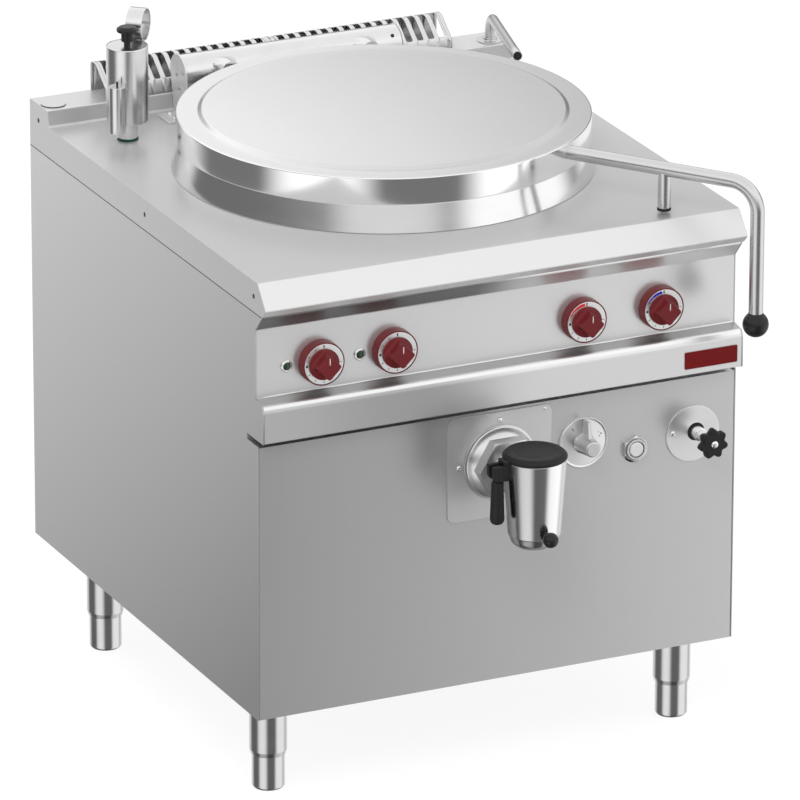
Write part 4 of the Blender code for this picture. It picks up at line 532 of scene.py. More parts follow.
# Painted light: the tap's back plate grows lighter from left to right.
brushed_steel("plate_steel", (0.52, 0.62), ACROSS, (-0.08, 0.08), 0.3, UPRIGHT, 0.7)
panel_finish()
worktop_finish()
lid_finish()
brushed_steel("grille_steel", (0.68, 0.68), ACROSS, WIDTH, 0.38, (300, 9, 9))
brushed_steel("inner_steel", (0.62, 0.62), (0, 0, 1), (0.4, 0.9), 0.3, (9, 9, 300))
polished_steel("mirror_steel", 0.84, 0.13, RINGS)
polished_steel("leg_steel", 0.62, 0.17, RINGS)
# Painted shade and highlight: the tap's cup is dark on its left and bright on its right.
brushed_steel("cup_steel", (0.52, 0.92), ACROSS, (-0.035, 0.035), 0.17, RINGS)
cast_steel("satin_steel", 0.72, 0.24)
cast_steel("disc_steel", 0.84, 0.34)
polished_steel("rod_steel", 0.62, 0.26, (60, 60, 60))
brushed_steel("bracket_steel", (0.72, 0.72), ACROSS, WIDTH, 0.3, LEVEL, 0.45)
cast_steel("fitting_steel", 0.66, 0.3)
polished_steel("bright_steel", 0.8, 0.22, (200, 200, 200))
cast_steel("dial_silver", 0.88, 0.36)
moulded("black_plastic", (0.014, 0.014, 0.015), 0.42, 4e-5)
moulded("black_gloss", (0.012, 0.012, 0.013), 0.28, 1e-5, 0.15)
moulded("burgundy_plastic", (0.13, 0.01, 0.013), 0.34, 3e-5, 0.1)
moulded("red_enamel", (0.14, 0.0004, 0.0012), 0.34, 1e-5)
moulded("lens_green", (0.008, 0.035, 0.014), 0.12, 1e-5, 0.8)
moulded("gasket_green", (0.006, 0.07, 0.035), 0.5, 3e-5)
moulded("rubber", (0.018, 0.018, 0.018), 0.7, 5e-5)
moulded("mark_ink", (0.02, 0.02, 0.022), 0.5, 1e-5)
moulded("warm_ink", (0.62, 0.01, 0.015), 0.4, 1e-5)
moulded("cool_ink", (0.01, 0.012, 0.4), 0.4, 1e-5)
moulded("pointer_ink", (0.8, 0.72, 0.7), 0.5, 1e-5, spread=0.05)
moulded("wool", (0.45, 0.4, 0.26), 0.95, 0.0002)


# Cabinet

BACK_Y, TOP_Z = 443, 850
SKIRT_Z, UPSTAND_Z = 801, 876
PANEL_Y, FASCIA_Y, LOWER_Y = -404, -433, -411

soften("worktop", "worktop_steel", [
    ("X", BACK_Y, UPSTAND_Z), ("X", 375, UPSTAND_Z), ("X", 369, TOP_Z), ("X", NOSE_Y + 30, TOP_Z),
    ("X", NOSE_Y, TOP_Z - 36), ("X", NOSE_Y + 13, SKIRT_Z)], 2.2)
for side in ("left", "right"):
    soften("side_panel_" + side, "side_steel")
soften("control_panel", "panel_steel", [
    ("X", -424.8, SKIRT_Z - 0.3), ("X", -424.8, 796.5), ("X", PANEL_Y, 773), ("X", PANEL_Y, 664),
    ("X", -428, 659.5), ("X", FASCIA_Y, 650), ("X", FASCIA_Y, 601)], 2)
soften("lower_front_panel", "front_steel", [
    ("X", LOWER_Y, 588), ("Z", -397.7, LOWER_Y), ("Z", 397.7, LOWER_Y)], 1.2)
for node in ("back_panel", "base_tray"):
    soften(node, "side_steel")


def dome_screw(place, radius, height, axis="-Y"):
    """A domed head: its height falls off as a circle's arc, and a recess stands in its middle."""
    share = np.linspace(0.34, 1, 12)
    dome = joined(radius * share, height * np.sqrt(np.clip(1.15 - share ** 2, 0, 1)))
    recess = [(0, height * 0.45), (radius * 0.2, height * 0.5), (radius * 0.3, height * 0.95)]
    return turned(np.concatenate([recess, dome, [(radius, 0), (0, 0)]]), place, axis, 32)


PLUG_AT = -378, 401, UPSTAND_Z
add("upstand_plug", [lathe([(0, 2), (19.5, 2), (20, 1.4), (0, 1.4)], 0.3, 3, PLUG_AT)],
    "worktop_steel")
# Painted shade: a black band under the raised plug stands for the shade on its rim.
add("plug_rim_shade", [peg(19.6, 0, 1.4, 0.2, 2, PLUG_AT)], "rubber")
add("skirt_hole_plugs", [
    peg(4, 0, 0.4, 0.2, 2, (side * 400 - (0.4 if side > 0 else 0), y, z), "X", 24)
    for side in (-1, 1) for y, z in ((409, TOP_Z), (0, 825.5), (-400, 825.5))],
    "black_gloss")


# Legs, whose sleeves close on themselves round the foot's bore

for corner, (x, y) in {"front_left": (-343, -322), "front_right": (343, -322),
                       "rear_left": (-343, 297.5), "rear_right": (343, 297.5)}.items():
    sleeve = lathe([(25.6, 149.7), (29, 149.7), (29, 63.4), (27.2, 56), (25.6, 56)],
                   (0, 0.6, 4, 0.8, 0), 5, (x, y, 0), turns=64, closed=True)
    add("sleeve_" + corner, [sleeve], "leg_steel", node="leg_sleeve_" + corner)
    foot = peg(25.3, 0, 138, (0, 1, 5, 0), 6, (x, y, 0), turns=64)
    add("screw_foot_" + corner, [foot], "leg_steel", "foot_" + corner, "foot_" + corner)


# Kettle, collar and lid

soften("vessel", "inner_steel")
collar = lathe([(326, 850.3), (314.5, 892.5), (302.3, 892.5), (302.3, 888.5), (312, 888.5),
                (323.5, 850.3)], (0.5, 1.5, 0.5, 0, 0, 0), 6, turns=256, closed=True)
add("collar", [collar], "mirror_steel", node="collar_ring")


def lid_outline():
    """The lid's section: a crown that falls as the square of the radius, a soft step down to the
    rim, the rounded edge, the band and the inner sheet."""
    r = np.linspace(0, 273.5, 30)
    crown = joined(r, 941.5 + 3 * (1 - (r / 278) ** 2))
    rest = rounded([(273.5, 941.65), (278.5, 941.55), (284.8, 937), (319, 937), (319, 893),
                    (316, 893), (316, 897), (0, 897)], (0, 5, 4, 3, 1, 0.5, 0, 0), 8)
    return np.concatenate([crown, rest[1:]])


add("lid_shell", [turned(lid_outline(), turns=288)], "lid_steel", "lid_assembly", "lid")
for node in ("steam_jacket", "steam_riser_pipe", "drain_pipe"):
    soften(node, "inner_steel")
soften("insulation_wrap", "wool")
soften("heating_elements", "fitting_steel")
soften("hinge_spring", "fitting_steel")
soften("control_carrier", "black_plastic")


# Hinge

HINGE_Y, HINGE_Z = 351, 915
AXIS_AT = 0, HINGE_Y, HINGE_Z
BAND_R, ARM_X = 319.3, 120
ARM_HALF, ARM_FLARE, ARM_Z = 14, 16, HINGE_Z + 11


def hinge_arm(x):
    """A half-round arm from the lid's band to the tube. It widens to the tube with the cube of
    the way covered, so that the two run into each other."""
    y = np.linspace(math.sqrt(BAND_R ** 2 - (ARM_X - ARM_HALF) ** 2), HINGE_Y, 40)
    left = np.clip((HINGE_Y - 18 - y) / 28, 0, 1)
    flare = ARM_FLARE * (1 - left) ** 3
    turn = np.linspace(0, math.pi, 40)
    across = (ARM_HALF + flare)[:, None] * np.cos(turn) + x
    up = ARM_Z + (ARM_HALF - flare * 0.1)[:, None] * np.sin(turn)
    low = np.full((len(y), 1), ARM_Z - ARM_HALF)
    across = np.concatenate([across, across[:, -1:], across[:, :1]], axis=1)
    up = np.concatenate([up, low, low], axis=1)
    return skin(joined(across, y[:, None], up))


tube = lathe([(29, -185), (29, 185), (27, 185), (27, -185)], 0.7, 4, AXIS_AT, "X", closed=True)
add("torsion_tube", [tube, hinge_arm(-ARM_X), hinge_arm(ARM_X)], "satin_steel",
    "lid_assembly", "hinge_tube")


def tube_plug(x, turn):
    """A domed plug in the tube's wall, turned up about the tube's axis from the front."""
    points, quads = lathe([(0, 29.8), (3, 29.8), (3.2, 28.5), (0, 28.5)], 0.4, 3, axis="-Y",
                          turns=32)
    across, back, up = points.T
    return joined(across + x, back * math.cos(turn) + up * math.sin(turn) + HINGE_Y,
                  up * math.cos(turn) - back * math.sin(turn) + HINGE_Z), quads


add("tube_plug", [tube_plug(170, math.radians(40))], "black_gloss", "lid_assembly")


def bracket_surfaces(side):
    """A plate with a half-round top about the tube's axis, its foot and the hub in the tube. The
    left one carries the axle too."""
    turn = np.linspace(-0.47, math.pi, 48)
    top = joined(HINGE_Y + 30.5 * np.cos(turn), HINGE_Z + 30.5 * np.sin(turn))
    outline = np.concatenate([top, [(HINGE_Y - 30.5, 850.3), (368.7, 850.3)]])
    inner, outer, far = side * 185.3, side * 188.3, side * 224.3
    plate = slab(outline, min(inner, outer), max(inner, outer), "X", 0.4)
    foot = rounded_box(abs(far - inner), 44.5, 3, ((inner + far) / 2, 328.75))
    hub_x = min(side * 171.3, side * 187.3)
    surfaces = [plate, slab(foot, 850.3, 853.3, "Z", 0.4),
                peg(26.7, 16, 0, 0.5, 3, (hub_x, HINGE_Y, HINGE_Z), "X", 64)]
    if side < 0:
        surfaces.append(peg(8, 352, 0, 0, 0, (-181, HINGE_Y, HINGE_Z), "X", 32))
    return surfaces


for name, side in (("left", -1), ("right", 1)):
    add("bracket_" + name, bracket_surfaces(side), "bracket_steel", node="hinge_bracket_" + name)
    heads = [dome_screw((side * 207, y, 853.3), 4.8, 3.2, "Z") for y in (318, 341)]
    heads += [dome_screw((side * 188.3 - (2.2 if side < 0 else 0), y, z), 2.8, 2.2, "X")
              for y, z in ((331, 921), (352, 913), (342, 893))]
    add("bracket_bolts_" + name, heads, "bright_steel")


# Lid handle

HANDLE_WAY = heading(-53.3)
HANDLE_Z, HANDLE_END = 920, HANDLE_WAY * 636.5
handle_path = bend(HANDLE_WAY * 318.8 + (0, 0, HANDLE_Z), HANDLE_END + (0, 0, HANDLE_Z),
                   HANDLE_END + (0, 0, 714), 44, 24)
post_at = HANDLE_WAY * 480
add("handle_bar", [swept(handle_path, 11, np.cross(HANDLE_WAY, (0, 0, 1)), 56),
                   peg(10, 858.5, 918, 0.8, 3, post_at)],
    "rod_steel", "lid_assembly", "lid_handle")
add("rest_foot", [peg(10.6, 854.5, 859, 0.8, 4, post_at)], "rubber", "lid_assembly")
BALL_R, BALL_FLAT = 20, 15.5
grip_top = rounded([(0, 18.5), (11.3, 18.5), (12.5, BALL_FLAT)], 0.6, 3)
angle = np.linspace(math.asin(BALL_FLAT / BALL_R), -math.pi / 2, 40)
grip_round = BALL_R * joined(np.cos(angle), np.sin(angle))
add("grip_ball", [turned(np.concatenate([grip_top[:-1], grip_round]),
                         HANDLE_END + (0, 0, 698), turns=64)],
    "black_gloss", "lid_assembly", "ball_grip")


# Vent grille

GRILLE_PITCH = 18.9


def grille_section():
    """The bent cover's section from its front foot over the crest to its back foot, as (y, z)."""
    front, back, low, top = 379, 439, 876.3, 925.5
    return rounded([(front, low), (front, 895.3), (418.5, top), (back, top), (back, low)],
                   (0, 4, 16, 9, 0), 12)


def grille_cell(section, middle, width, near, far):
    """One slot and the metal round it. In the flat sheet the slot is a rounded rectangle and its
    border a rectangle, both walked in the same order; the sheet then follows the section."""
    step = np.linalg.norm(np.diff(section, axis=0), axis=1)
    length = np.concatenate([[0], np.cumsum(step)])
    radius = min(width * 0.275, 3)
    inner, first, last = width / 2 - radius, near + radius, far - radius
    rise = np.linspace(first, last, 30)
    turn = np.linspace(0, math.pi / 2, 7)[1:-1]
    top = np.concatenate([
        joined(inner + radius * np.cos(turn), last + radius * np.sin(turn)),
        [(inner, far), (-inner, far)],
        joined(-inner - radius * np.sin(turn), last + radius * np.cos(turn))])
    hole = np.concatenate([joined(width / 2, rise), top])
    hole = np.concatenate([hole, joined(-hole[:, 0], near + far - hole[:, 1])])
    half = GRILLE_PITCH / 2
    share = np.linspace(0, 1, len(top) + 2)[1:-1]
    stops = [0, 0.3, 0.7, 1]
    over = joined(np.interp(share, stops, [half, half, -half, -half]),
                  np.interp(share, stops, [last, length[-1], length[-1], last]))
    under = joined(-over[:, 0], np.interp(share, stops, [first, 0, 0, first]))
    border = np.concatenate([joined(half, rise), over, joined(-half, rise[::-1]), under])
    flat = np.stack([hole, hole + (border - hole) * 0.12, border])
    y, z = (np.interp(flat[..., 1], length, part) for part in section.T)
    return grid(joined(flat[..., 0] + middle, y, z))


def grille_surfaces():
    """31 cells in a row, whose middle one only has the joint's hole, and a strip at each end."""
    section = grille_section()
    length = np.linalg.norm(np.diff(section, axis=0), axis=1).sum()
    cells = []
    for place in range(-15, 16):
        hole = (11.2, 25, length - 53) if place else (2, length - 66, length - 56)
        cells.append(grille_cell(section, place * GRILLE_PITCH, *hole))
    for ends in ((-298.5, -292.95), (292.95, 298.5)):
        strip = joined([ends], section[:, :1], section[:, 1:])
        cells.append(grid(strip, wrap_columns=False))
    return cells


grille = add("slotted_grille", grille_surfaces(), "grille_steel", node="vent_grille", crease=50)
wall = grille.modifiers.new("sheet", "SOLIDIFY")
wall.thickness = 1.5 * MM
wall.offset = -1


# Water spout

SPOUT = np.array([375, 401, 0])
spout_way = heading(-106)
spout_side = np.cross(spout_way, (0, 0, 1))
spout_path = bend(SPOUT + (0, 0, 877.8), SPOUT + (0, 0, 919),
                  SPOUT + (0, 0, 932) + spout_way * 250.7, 36, 24)
spout_flange = lathe([(0, 6), (10.5, 6), (10.5, 1.5), (20.5, 1.5), (20.5, 0), (0, 0)],
                     (0, 0.6, 1.5, 0.4, 0, 0), 4, SPOUT + (0, 0, 876.3), turns=64)
add("spout_pipe", [swept(spout_path, 8, spout_side), spout_flange], "rod_steel",
    "water_spout", "water_spout")
mouth_way = spout_path[-1] - spout_path[-2]
mouth_way /= np.linalg.norm(mouth_way)
mouth_path = [spout_path[-1] + mouth_way * step for step in (-1, 0.1, 0.2)]
add("spout_mouth", [swept(mouth_path, 6.8, spout_side, edge=0.05)], "rubber", "water_spout")


# Safety valve

VALVE = np.array([-309.5, 269.5, 0])
valve_body = lathe([(0, 1002.2), (30, 1002.2), (30.2, 1003), (32.5, 1003), (32.5, 881),
                    (15.5, 881), (15.5, 853.6), (0, 853.6)],
                   (0, 0.2, 0.3, 1.5, 1.8, 1, 0.5, 0), 6, VALVE, turns=128)
side_at = VALVE + heading(-134) * 44.7
side_body = lathe([(0, 949.5), (11.5, 949.5), (13, 950), (13, 874), (6, 874), (6, 868), (0, 868)],
                  (0, 0.3, 0.6, 1.5, 0.5, 0.8, 0), 5, side_at, turns=64)
add("valve_cylinder", [valve_body, side_body], "satin_steel", node="safety_valve")
add("side_pin", [peg(1.6, 949.5, 957, 0.4, 3, side_at, turns=24)], "rubber")
strap_along, strap_back = heading(-41), heading(49)
strap_middle = VALVE + (0, 0, 1024) + strap_along * 4.4 + strap_back * 43.2


def strap_surface():
    """A flat band bent into a ring: a rounded rectangle 2 by 25.6 mm goes round the strap's
    axis, which lies level."""
    section = rounded_box(2, 25.6, 0.6, (24.6, 0), 3)
    t = around(96)[:, None, None]
    radius, along = section[:, :1], section[:, 1:]
    return grid(strap_middle + radius * np.cos(t) * strap_back + along * strap_along
                + radius * np.sin(t) * (0, 0, 1), wrap_rows=True)


add("lifting_strap", [strap_surface()], "satin_steel")
add("valve_gasket", [peg(16.5, 850.3, 853.3, 0.6, 3, VALVE, turns=64)], "gasket_green",
    node="safety_valve_gasket")
pull = lathe([(0, 1033.2), (11, 1033), (16.5, 1029), (15.8, 1024.5), (9.2, 1024), (9, 1009),
              (5, 1009), (5, 1000), (0, 1000)], (0, 8, 2, 1.5, 1, 1, 0, 0, 0), 8, VALVE, turns=64)
add("valve_pull", [pull], "black_gloss", "safety_valve_knob", "safety_valve_knob")


# Control panel fittings

KNOB_Z = 709
BEZEL_BACK, BEZEL_FRONT = PANEL_Y - 0.3, -421.3
KNOB_BACK, KNOB_DEPTH = BEZEL_FRONT + 0.7, 22
POWER = 9


def knob_surface(x):
    """A knob: a round hub of 24 mm radius that flares into a square on its corner. The radius at
    angle t is the hub's, or else 14.5 / (|cos|^p + |sin|^p)^(1/p) plus the flare, where p is 9."""
    t = around(128)
    depth = np.array([0, 0.6, 3.4, 4, 4.6, 5.4, 6.4, 7.8, 9.6, 12, 15, 19, 20.8, 21.6, KNOB_DEPTH,
                      KNOB_DEPTH])[:, None]
    hub = np.array([23.4, 24, 24, 23.6] + [0] * 12)[:, None]
    flare = np.array([0] * 4 + [3.8, 2.6, 1.6, 0.9, 0.4, 0.1, 0, 0, 0, -0.4, -1, -1.6])[:, None]
    corner = t + math.pi / 4
    square = 14.5 / (np.abs(np.cos(corner)) ** POWER
                     + np.abs(np.sin(corner)) ** POWER) ** (1 / POWER)
    radius = np.where(hub > 0, hub, np.minimum(square + flare, 23.6))
    return skin(joined(x + radius * np.cos(t), KNOB_BACK - depth, KNOB_Z + radius * np.sin(t)))


def arc_band(x, inner, outer, start, end, y, thick=0.25, thin_end=1):
    """A flat mark on a dial: the outer and inner edge follow circles about the knob from one
    angle to another, and its width shrinks along it to thin_end of itself."""
    t = np.radians(np.linspace(start, end, 40))[:, None]
    width = (outer - inner) * np.linspace(1, thin_end, 40)[:, None]
    radius = outer - width * (1, 0, 0, 1)
    level = np.array([[y, y, y - thick, y - thick]])
    return skin(joined(x + radius * np.cos(t), level, KNOB_Z + radius * np.sin(t)))


for number, x in enumerate((-295, -174.5, 140.5, 270.5), start=1):
    at, slot, knob = (x, BEZEL_BACK, KNOB_Z), f"bezel_{number}", f"knob_{number}"
    bezel = lathe([(0, 16.2), (32, 16.2), (32.2, 17.2), (33.7, 17.2), (34.5, 5), (34.5, 0),
                   (0, 0)], (0, 0.2, 0.4, 0.7, 2, 0.4, 0), 5, at, "-Y")
    add("dial_" + slot, [bezel], "burgundy_plastic", node=slot)
    dial = lathe([(23.6, 16.6), (31.8, 16.6), (31.8, 15.8), (23.6, 15.8)], 0.2, 2, at, "-Y",
                 closed=True)
    add(f"dial_ring_{number}", [dial], "dial_silver")
    face = BEZEL_BACK - 16.6
    ticks = [arc_band(x, 26.2, 29.6, a - 0.8, a + 0.8, face) for a in range(0, 360, 30)
             if not 20 < a < 70]
    ticks += [arc_band(x, 25.8, 30.2, 88.2, 91.8, face), arc_band(x, 26.6, 29.4, 176, 184, face)]
    add(f"dial_ticks_{number}", ticks, "mark_ink")
    if number > 2:
        add(f"dial_arc_{number}", [arc_band(x, 25.6, 30, 97, 158, face, 0.3, 0.2)],
            "warm_ink" if number == 3 else "cool_ink")
    add("turn_" + knob, [knob_surface(x)], "burgundy_plastic", knob, knob)
    tip = KNOB_BACK - KNOB_DEPTH
    line = rounded_box(1.4, 11, 0.3, (x, KNOB_Z + 10.5), 3)
    add(f"pointer_line_{number}", [slab(line, tip - 0.2, tip + 0.4, "Y", 0.1)],
        "pointer_ink", knob)

for number, x in enumerate((-349, -229), start=1):
    at, lamp = (x, BEZEL_BACK, KNOB_Z), f"signal_lamp_{number}"
    rim = lathe([(6.2, 0), (9.2, 0), (9.2, 1.8), (7.8, 3), (6.2, 2.6)], 0.5, 4, at, "-Y", 64, True)
    add(f"lamp_rim_{number}", [rim], "bright_steel")
    lens = lathe([(0, 2.6), (4, 2.3), (6.2, 1.2), (6.2, -1), (0, -1)], (0, 6, 1, 0, 0), 6, at,
                 "-Y", 64)
    add(f"lamp_lens_{number}", [lens], "lens_green", node=lamp)

plate = rounded_box(89.5, 27.3, 2.2, (345.5, 624.5))
add("maker_blank", [slab(plate, FASCIA_Y - 1.3, FASCIA_Y - 0.3, "Y", 0.4)], "red_enamel",
    node="badge_plate")


# Tap

TAP_Y, TAP_Z = -533, 503.6
TAP_AT = 0, TAP_Y, 0
BOARD_Y = LOWER_Y - 0.3
PLATE_Y = BOARD_Y - 1.5
plate = rounded_box(173.4, 168, 12, (0, TAP_Z - 3.8), 8)
add("tap_back_plate", [slab(plate, PLATE_Y, BOARD_Y, "Y", 0.4)], "plate_steel", node="tap_plate")
rosette = lathe([(0, 18), (44, 18), (51.5, 11.8), (56, 3.6), (60, 3), (60, 0), (0, 0)],
                (0, 3, 20, 3, 0.8, 0, 0), 10, (0, PLATE_Y - 0.3, TAP_Z), "-Y", 128)
add("rosette", [rosette], "fitting_steel", node="tap_rosette")


def hexagon_nut(at, apothem, phase, circle, slope, rows, turns):
    """A chamfered hexagon nut, which stands out towards -Y. At angle t its flank stands at
    apothem / cos(t - the nearest flat's angle). A row is the most that its radius may be, an
    inset, a level, and whether the chamfer adds slope times the flank's excess over the circle
    to the level."""
    t = around(turns)
    flank = apothem / np.cos(np.mod(t + phase, math.pi / 3) - math.pi / 6)
    drop = np.maximum(flank - circle, 0) * slope
    limit, inset, level, chamfered = np.array(rows, float).T[:, :, None]
    radius = np.minimum(flank, limit) - inset
    return skin(joined(at[0] + radius * np.cos(t), level + chamfered * drop,
                       at[1] + radius * np.sin(t)))


FREE = 99   # a limit beyond every flank
back, front = BOARD_Y - 20.1, BOARD_Y - 41.1
union = hexagon_nut((0, TAP_Z), 51.7 * math.cos(math.pi / 6), math.pi / 3, 46.2, 0.5, [
    (30.3, 0, front, 0), (46.2, 0.6, front, 0), (46.2, 0, front + 0.1, 0), (FREE, 0.2, front, 1),
    (FREE, 0, front + 0.4, 1), (FREE, 0, back, 0)], 192)
add("union_nut", [union], "fitting_steel", node="tap_nut", crease=25)
boss = lathe([(0, 0), (33, 0), (33, 36), (36, 46), (0, 46)], (0, 1, 10, 0, 0), 6,
             (0, front - 0.3, TAP_Z), "-Y")
cup = lathe([(0, 550), (45, 550), (45, 552.7), (48.4, 552.7), (40, 432.8), (38.5, 431.8),
             (35.5, 420), (29, 414.3), (22, 414.3), (22, 430), (0, 430)],
            (0, 0, 0.5, 1, 0.5, 2, 10, 1, 0.5, 0, 0), 8, TAP_AT, turns=128)
add("tap_cup", [cup, boss], "cup_steel", node="tap_body")
cap = lathe([(0, 561.7), (33, 561.7), (36, 562.5), (44, 562.5), (49.2, 557.5), (49.2, 553),
             (44, 552.8), (0, 552.8)], (0, 6, 6, 4, 3, 1.5, 0, 0), 8, TAP_AT, turns=128)
PIN_X, PIN_Z = -62, 538.2
# The lever's ear is square, except below its pin, where the lever's grip swings past
ear = rounded([(-46.5, 526.2), (-46.5, 550.2), (-74, 550.2), (-74, 526.2)], (0.5, 2, 1.8, 9.8), 8,
              closed=True)
cheeks = [slab(ear, TAP_Y + near, TAP_Y + near + 7, "Y", 0.7) for near in (-12, 5)]
cheeks += [slab(rounded_box(*block), TAP_Y - 11.8, TAP_Y + 11.8, "Y", 0.6)
           for block in ((11, 24, 1, (-47, PIN_Z)), (12, 6.5, 1, (-49.5, 553)))]
add("tap_cover", [cap] + cheeks, "black_plastic", node="tap_cap")
add("ear_pin", [dome_screw((PIN_X, TAP_Y - 12, PIN_Z), 3, 0.6)], "black_gloss")
tongue = rounded([(PIN_X + 8.4, 547), (PIN_X - 8.4, 547), (PIN_X - 4.5, 511.2),
                  (PIN_X + 4.5, 511.2)], (6, 6, 0, 0), 8, closed=True)
lever = lathe([(0, 525), (7, 525), (9.2, 521.5), (11, 465), (10.4, 455.6), (0, 455.2)],
              (0, 2, 3, 10, 8, 0), 10, (PIN_X, TAP_Y, 0), turns=64)
add("lever_grip", [lever, slab(tongue, TAP_Y - 4.7, TAP_Y + 4.7, "Y", 0.6)], "black_plastic",
    "tap_lever", "tap_lever")
plunger = lathe([(0, 532.5), (6, 532.5), (6, 428.6), (26.5, 428.6), (26.5, 424.6), (21.1, 418.6),
                 (0, 418.6)], (0, 0.5, 2, 0.8, 0.8, 0.5, 0), 4, TAP_AT, turns=64)
add("plunger", [plunger], "fitting_steel", "tap_plunger", "tap_plunger")
BALL_AT = 0, -589, 439
angle = np.linspace(-math.pi / 2, math.pi / 2, 40)
outlet = turned(11.8 * joined(np.cos(angle), np.sin(angle)), BALL_AT, turns=64)
add("front_ball", [outlet, peg(5, 0, -16, 0.3, 2, BALL_AT, "-Y", 32)], "black_gloss",
    node="outlet_ball")
add("tap_plate_screws", [dome_screw((x, PLATE_Y, z), 4.2, 3) for x, z in (
    (0, 571), (0, 436.2), (-68, TAP_Z), (68, TAP_Z))], "bright_steel")
add("panel_rivet", [dome_screw((75.4, PLATE_Y, 577.5), 2.6, 1.2)], "bright_steel")


# Selector, push button and star-knob valve

SELECTOR_X, SELECTOR_Z = 140.5, 512.5
HUB_Y = BOARD_Y - 4.3
disc = lathe([(0, 4), (18, 4), (37.5, 3), (39.5, 4.2), (40.5, 3), (40.5, 0), (0, 0)],
             (0, 2, 4, 0.8, 0.8, 0, 0), 8, (SELECTOR_X, BOARD_Y, SELECTOR_Z), "-Y", 128)
add("selector_face", [disc], "disc_steel", node="selector_disc")
hub = lathe([(0, 33.5), (1.2, 33.5), (1.6, 34), (11.5, 34), (12.6, 32), (16.8, 0.6), (17.2, 0),
             (0, 0)], (0, 0, 0.4, 2, 2, 0, 0, 0), 8, (SELECTOR_X, HUB_Y, SELECTOR_Z), "-Y")


def pointer_surface():
    """The selector's pointer: a bar that narrows from 10 to 4.4 mm outwards, while its front
    slopes down from 26.5 to 16 mm."""
    share = np.linspace(0, 1, 30)[:, None]
    half, front = 5 - 2.8 * share, 26.5 - 10.5 * share
    across = half * (-1, -1, -1, 1, 1, 1) + (0, 0, 1, -1, 0, 0)
    depth = front * (0, 1, 1, 1, 1, 0) - (0, 1, 0, 0, 1, 0)
    return skin(joined(SELECTOR_X + across, HUB_Y - depth, SELECTOR_Z + share * 38))


add("selector_handle", [hub, pointer_surface()], "fitting_steel", "selector_knob",
    "selector_knob", crease=30)


def selector_mark(angle, reach, size):
    """A dot on the disc, at an angle and a reach from its middle."""
    x, z, _ = heading(angle) * reach
    return peg(size, -0.6, 0.4, 0, 0, (SELECTOR_X + x, BOARD_Y - 3.3, SELECTOR_Z + z), "-Y", 16)


add("selector_marks", [selector_mark(*mark) for mark in (
    (128, 31, 1.1), (128, 27.5, 0.8), (20, 31, 1.1), (14, 27.5, 0.9), (28, 28.5, 0.7))],
    "mark_ink")

BUTTON_X, BUTTON_Z = 228, 488.7
front = BOARD_Y - 7
at = BUTTON_X, front, BUTTON_Z
nut = hexagon_nut((BUTTON_X, BUTTON_Z), 18.5, math.pi / 6, 18.8, 0.6, [
    (12, 0, front, 0), (18.6, 0.3, front, 0), (18.8, 0, front + 0.1, 0),
    (FREE, 0, front + 0.3, 1), (FREE, 0, BOARD_Y, 0)], 144)
raised = lathe([(12.4, 0), (16.5, 0), (16.5, 2), (12.4, 2)], (0, 0, 0.8, 0.6), 4, at, "-Y", 96,
               True)
add("button_collar", [nut, raised], "fitting_steel", node="button_nut", crease=25)
button = lathe([(0, 2.3), (10.6, 2.3), (11.9, 1.2), (11.9, -7), (0, -7)], (0, 0.8, 0.5, 0, 0), 4,
               at, "-Y")
add("button_face", [button], "dial_silver", "push_button", "push_button")
# Painted shade: a black disc below the nut for the shaded hole in the panel, and thin black rings
# for the shade in the gap round the button and at the foot of the raised ring.
shade = peg(16.2, 0, 1.2, 0.4, 3, (BUTTON_X - 1.5, BOARD_Y, BUTTON_Z - 6.2), "-Y", 64)
crease_shades = [lathe([(radius, 0), (radius + 0.7, 0), (radius + 0.7, 0.1), (radius, 0.1)], 0, 0,
                 (BUTTON_X, BOARD_Y - depth, BUTTON_Z), "-Y", closed=True)
           for radius, depth in ((12.2, 9), (16.6, 7))]
add("button_shade", [shade] + crease_shades, "rubber")

STAR_X, STAR_Z = 332, 499.5
add("star_plate", [peg(45, 0, 2, 0.6, 4, (326.8, BOARD_Y, 497), "-Y", 128)], "disc_steel",
    node="valve_disc")
# Painted shade: a black disc round the spindle for the shaded hole in the plate.
add("star_well_shade", [peg(14.3, -0.3, 0.3, 0, 0, (STAR_X, BOARD_Y - 2, STAR_Z), "-Y", 64)],
    "rubber")
add("star_plate_screws", [dome_screw((x, BOARD_Y - 2, z), 4, 2.8)
                          for x, z in ((292.5, 502), (361.1, 492))],
    "bright_steel")


def star_surface():
    """The star knob: its radius is 18.3 mm plus 5.7 mm times a wave of seven crests, raised to
    0.9 to fill its crests a little, with rounded front and back edges. A row is an inset and a
    depth."""
    t = around(224)
    wave = ((1 + np.cos(7 * t)) / 2) ** 0.9
    rows = np.array([(1.8, 0), (0.7, 0.4), (0, 1.4), (0, 11), (0.7, 12.4), (2, 13), (4, 13)])
    radius = 18.3 + 5.7 * wave - rows[:, :1]
    return skin(joined(STAR_X + radius * np.sin(t), LOWER_Y - 52 - rows[:, 1:],
                       STAR_Z + radius * np.cos(t)))


add("star_grip", [star_surface()], "black_plastic", "star_knob", "star_knob")
spindle = lathe([(0, 58), (12.5, 58), (12.5, 50), (8.5, 49), (8.5, 20), (10.5, 19), (10.5, -4),
                 (0, -4)], (0, 0.8, 0.8, 0.5, 0.5, 0.8, 0, 0), 4, (STAR_X, LOWER_Y, STAR_Z), "-Y",
                64)
add("star_spindle", [spindle], "bright_steel", "star_knob")
add("star_screw", [dome_screw((STAR_X, LOWER_Y - 64.8, STAR_Z), 6, 3.8)], "bright_steel",
    "star_knob")


# Studio, in metres: floor, light and camera

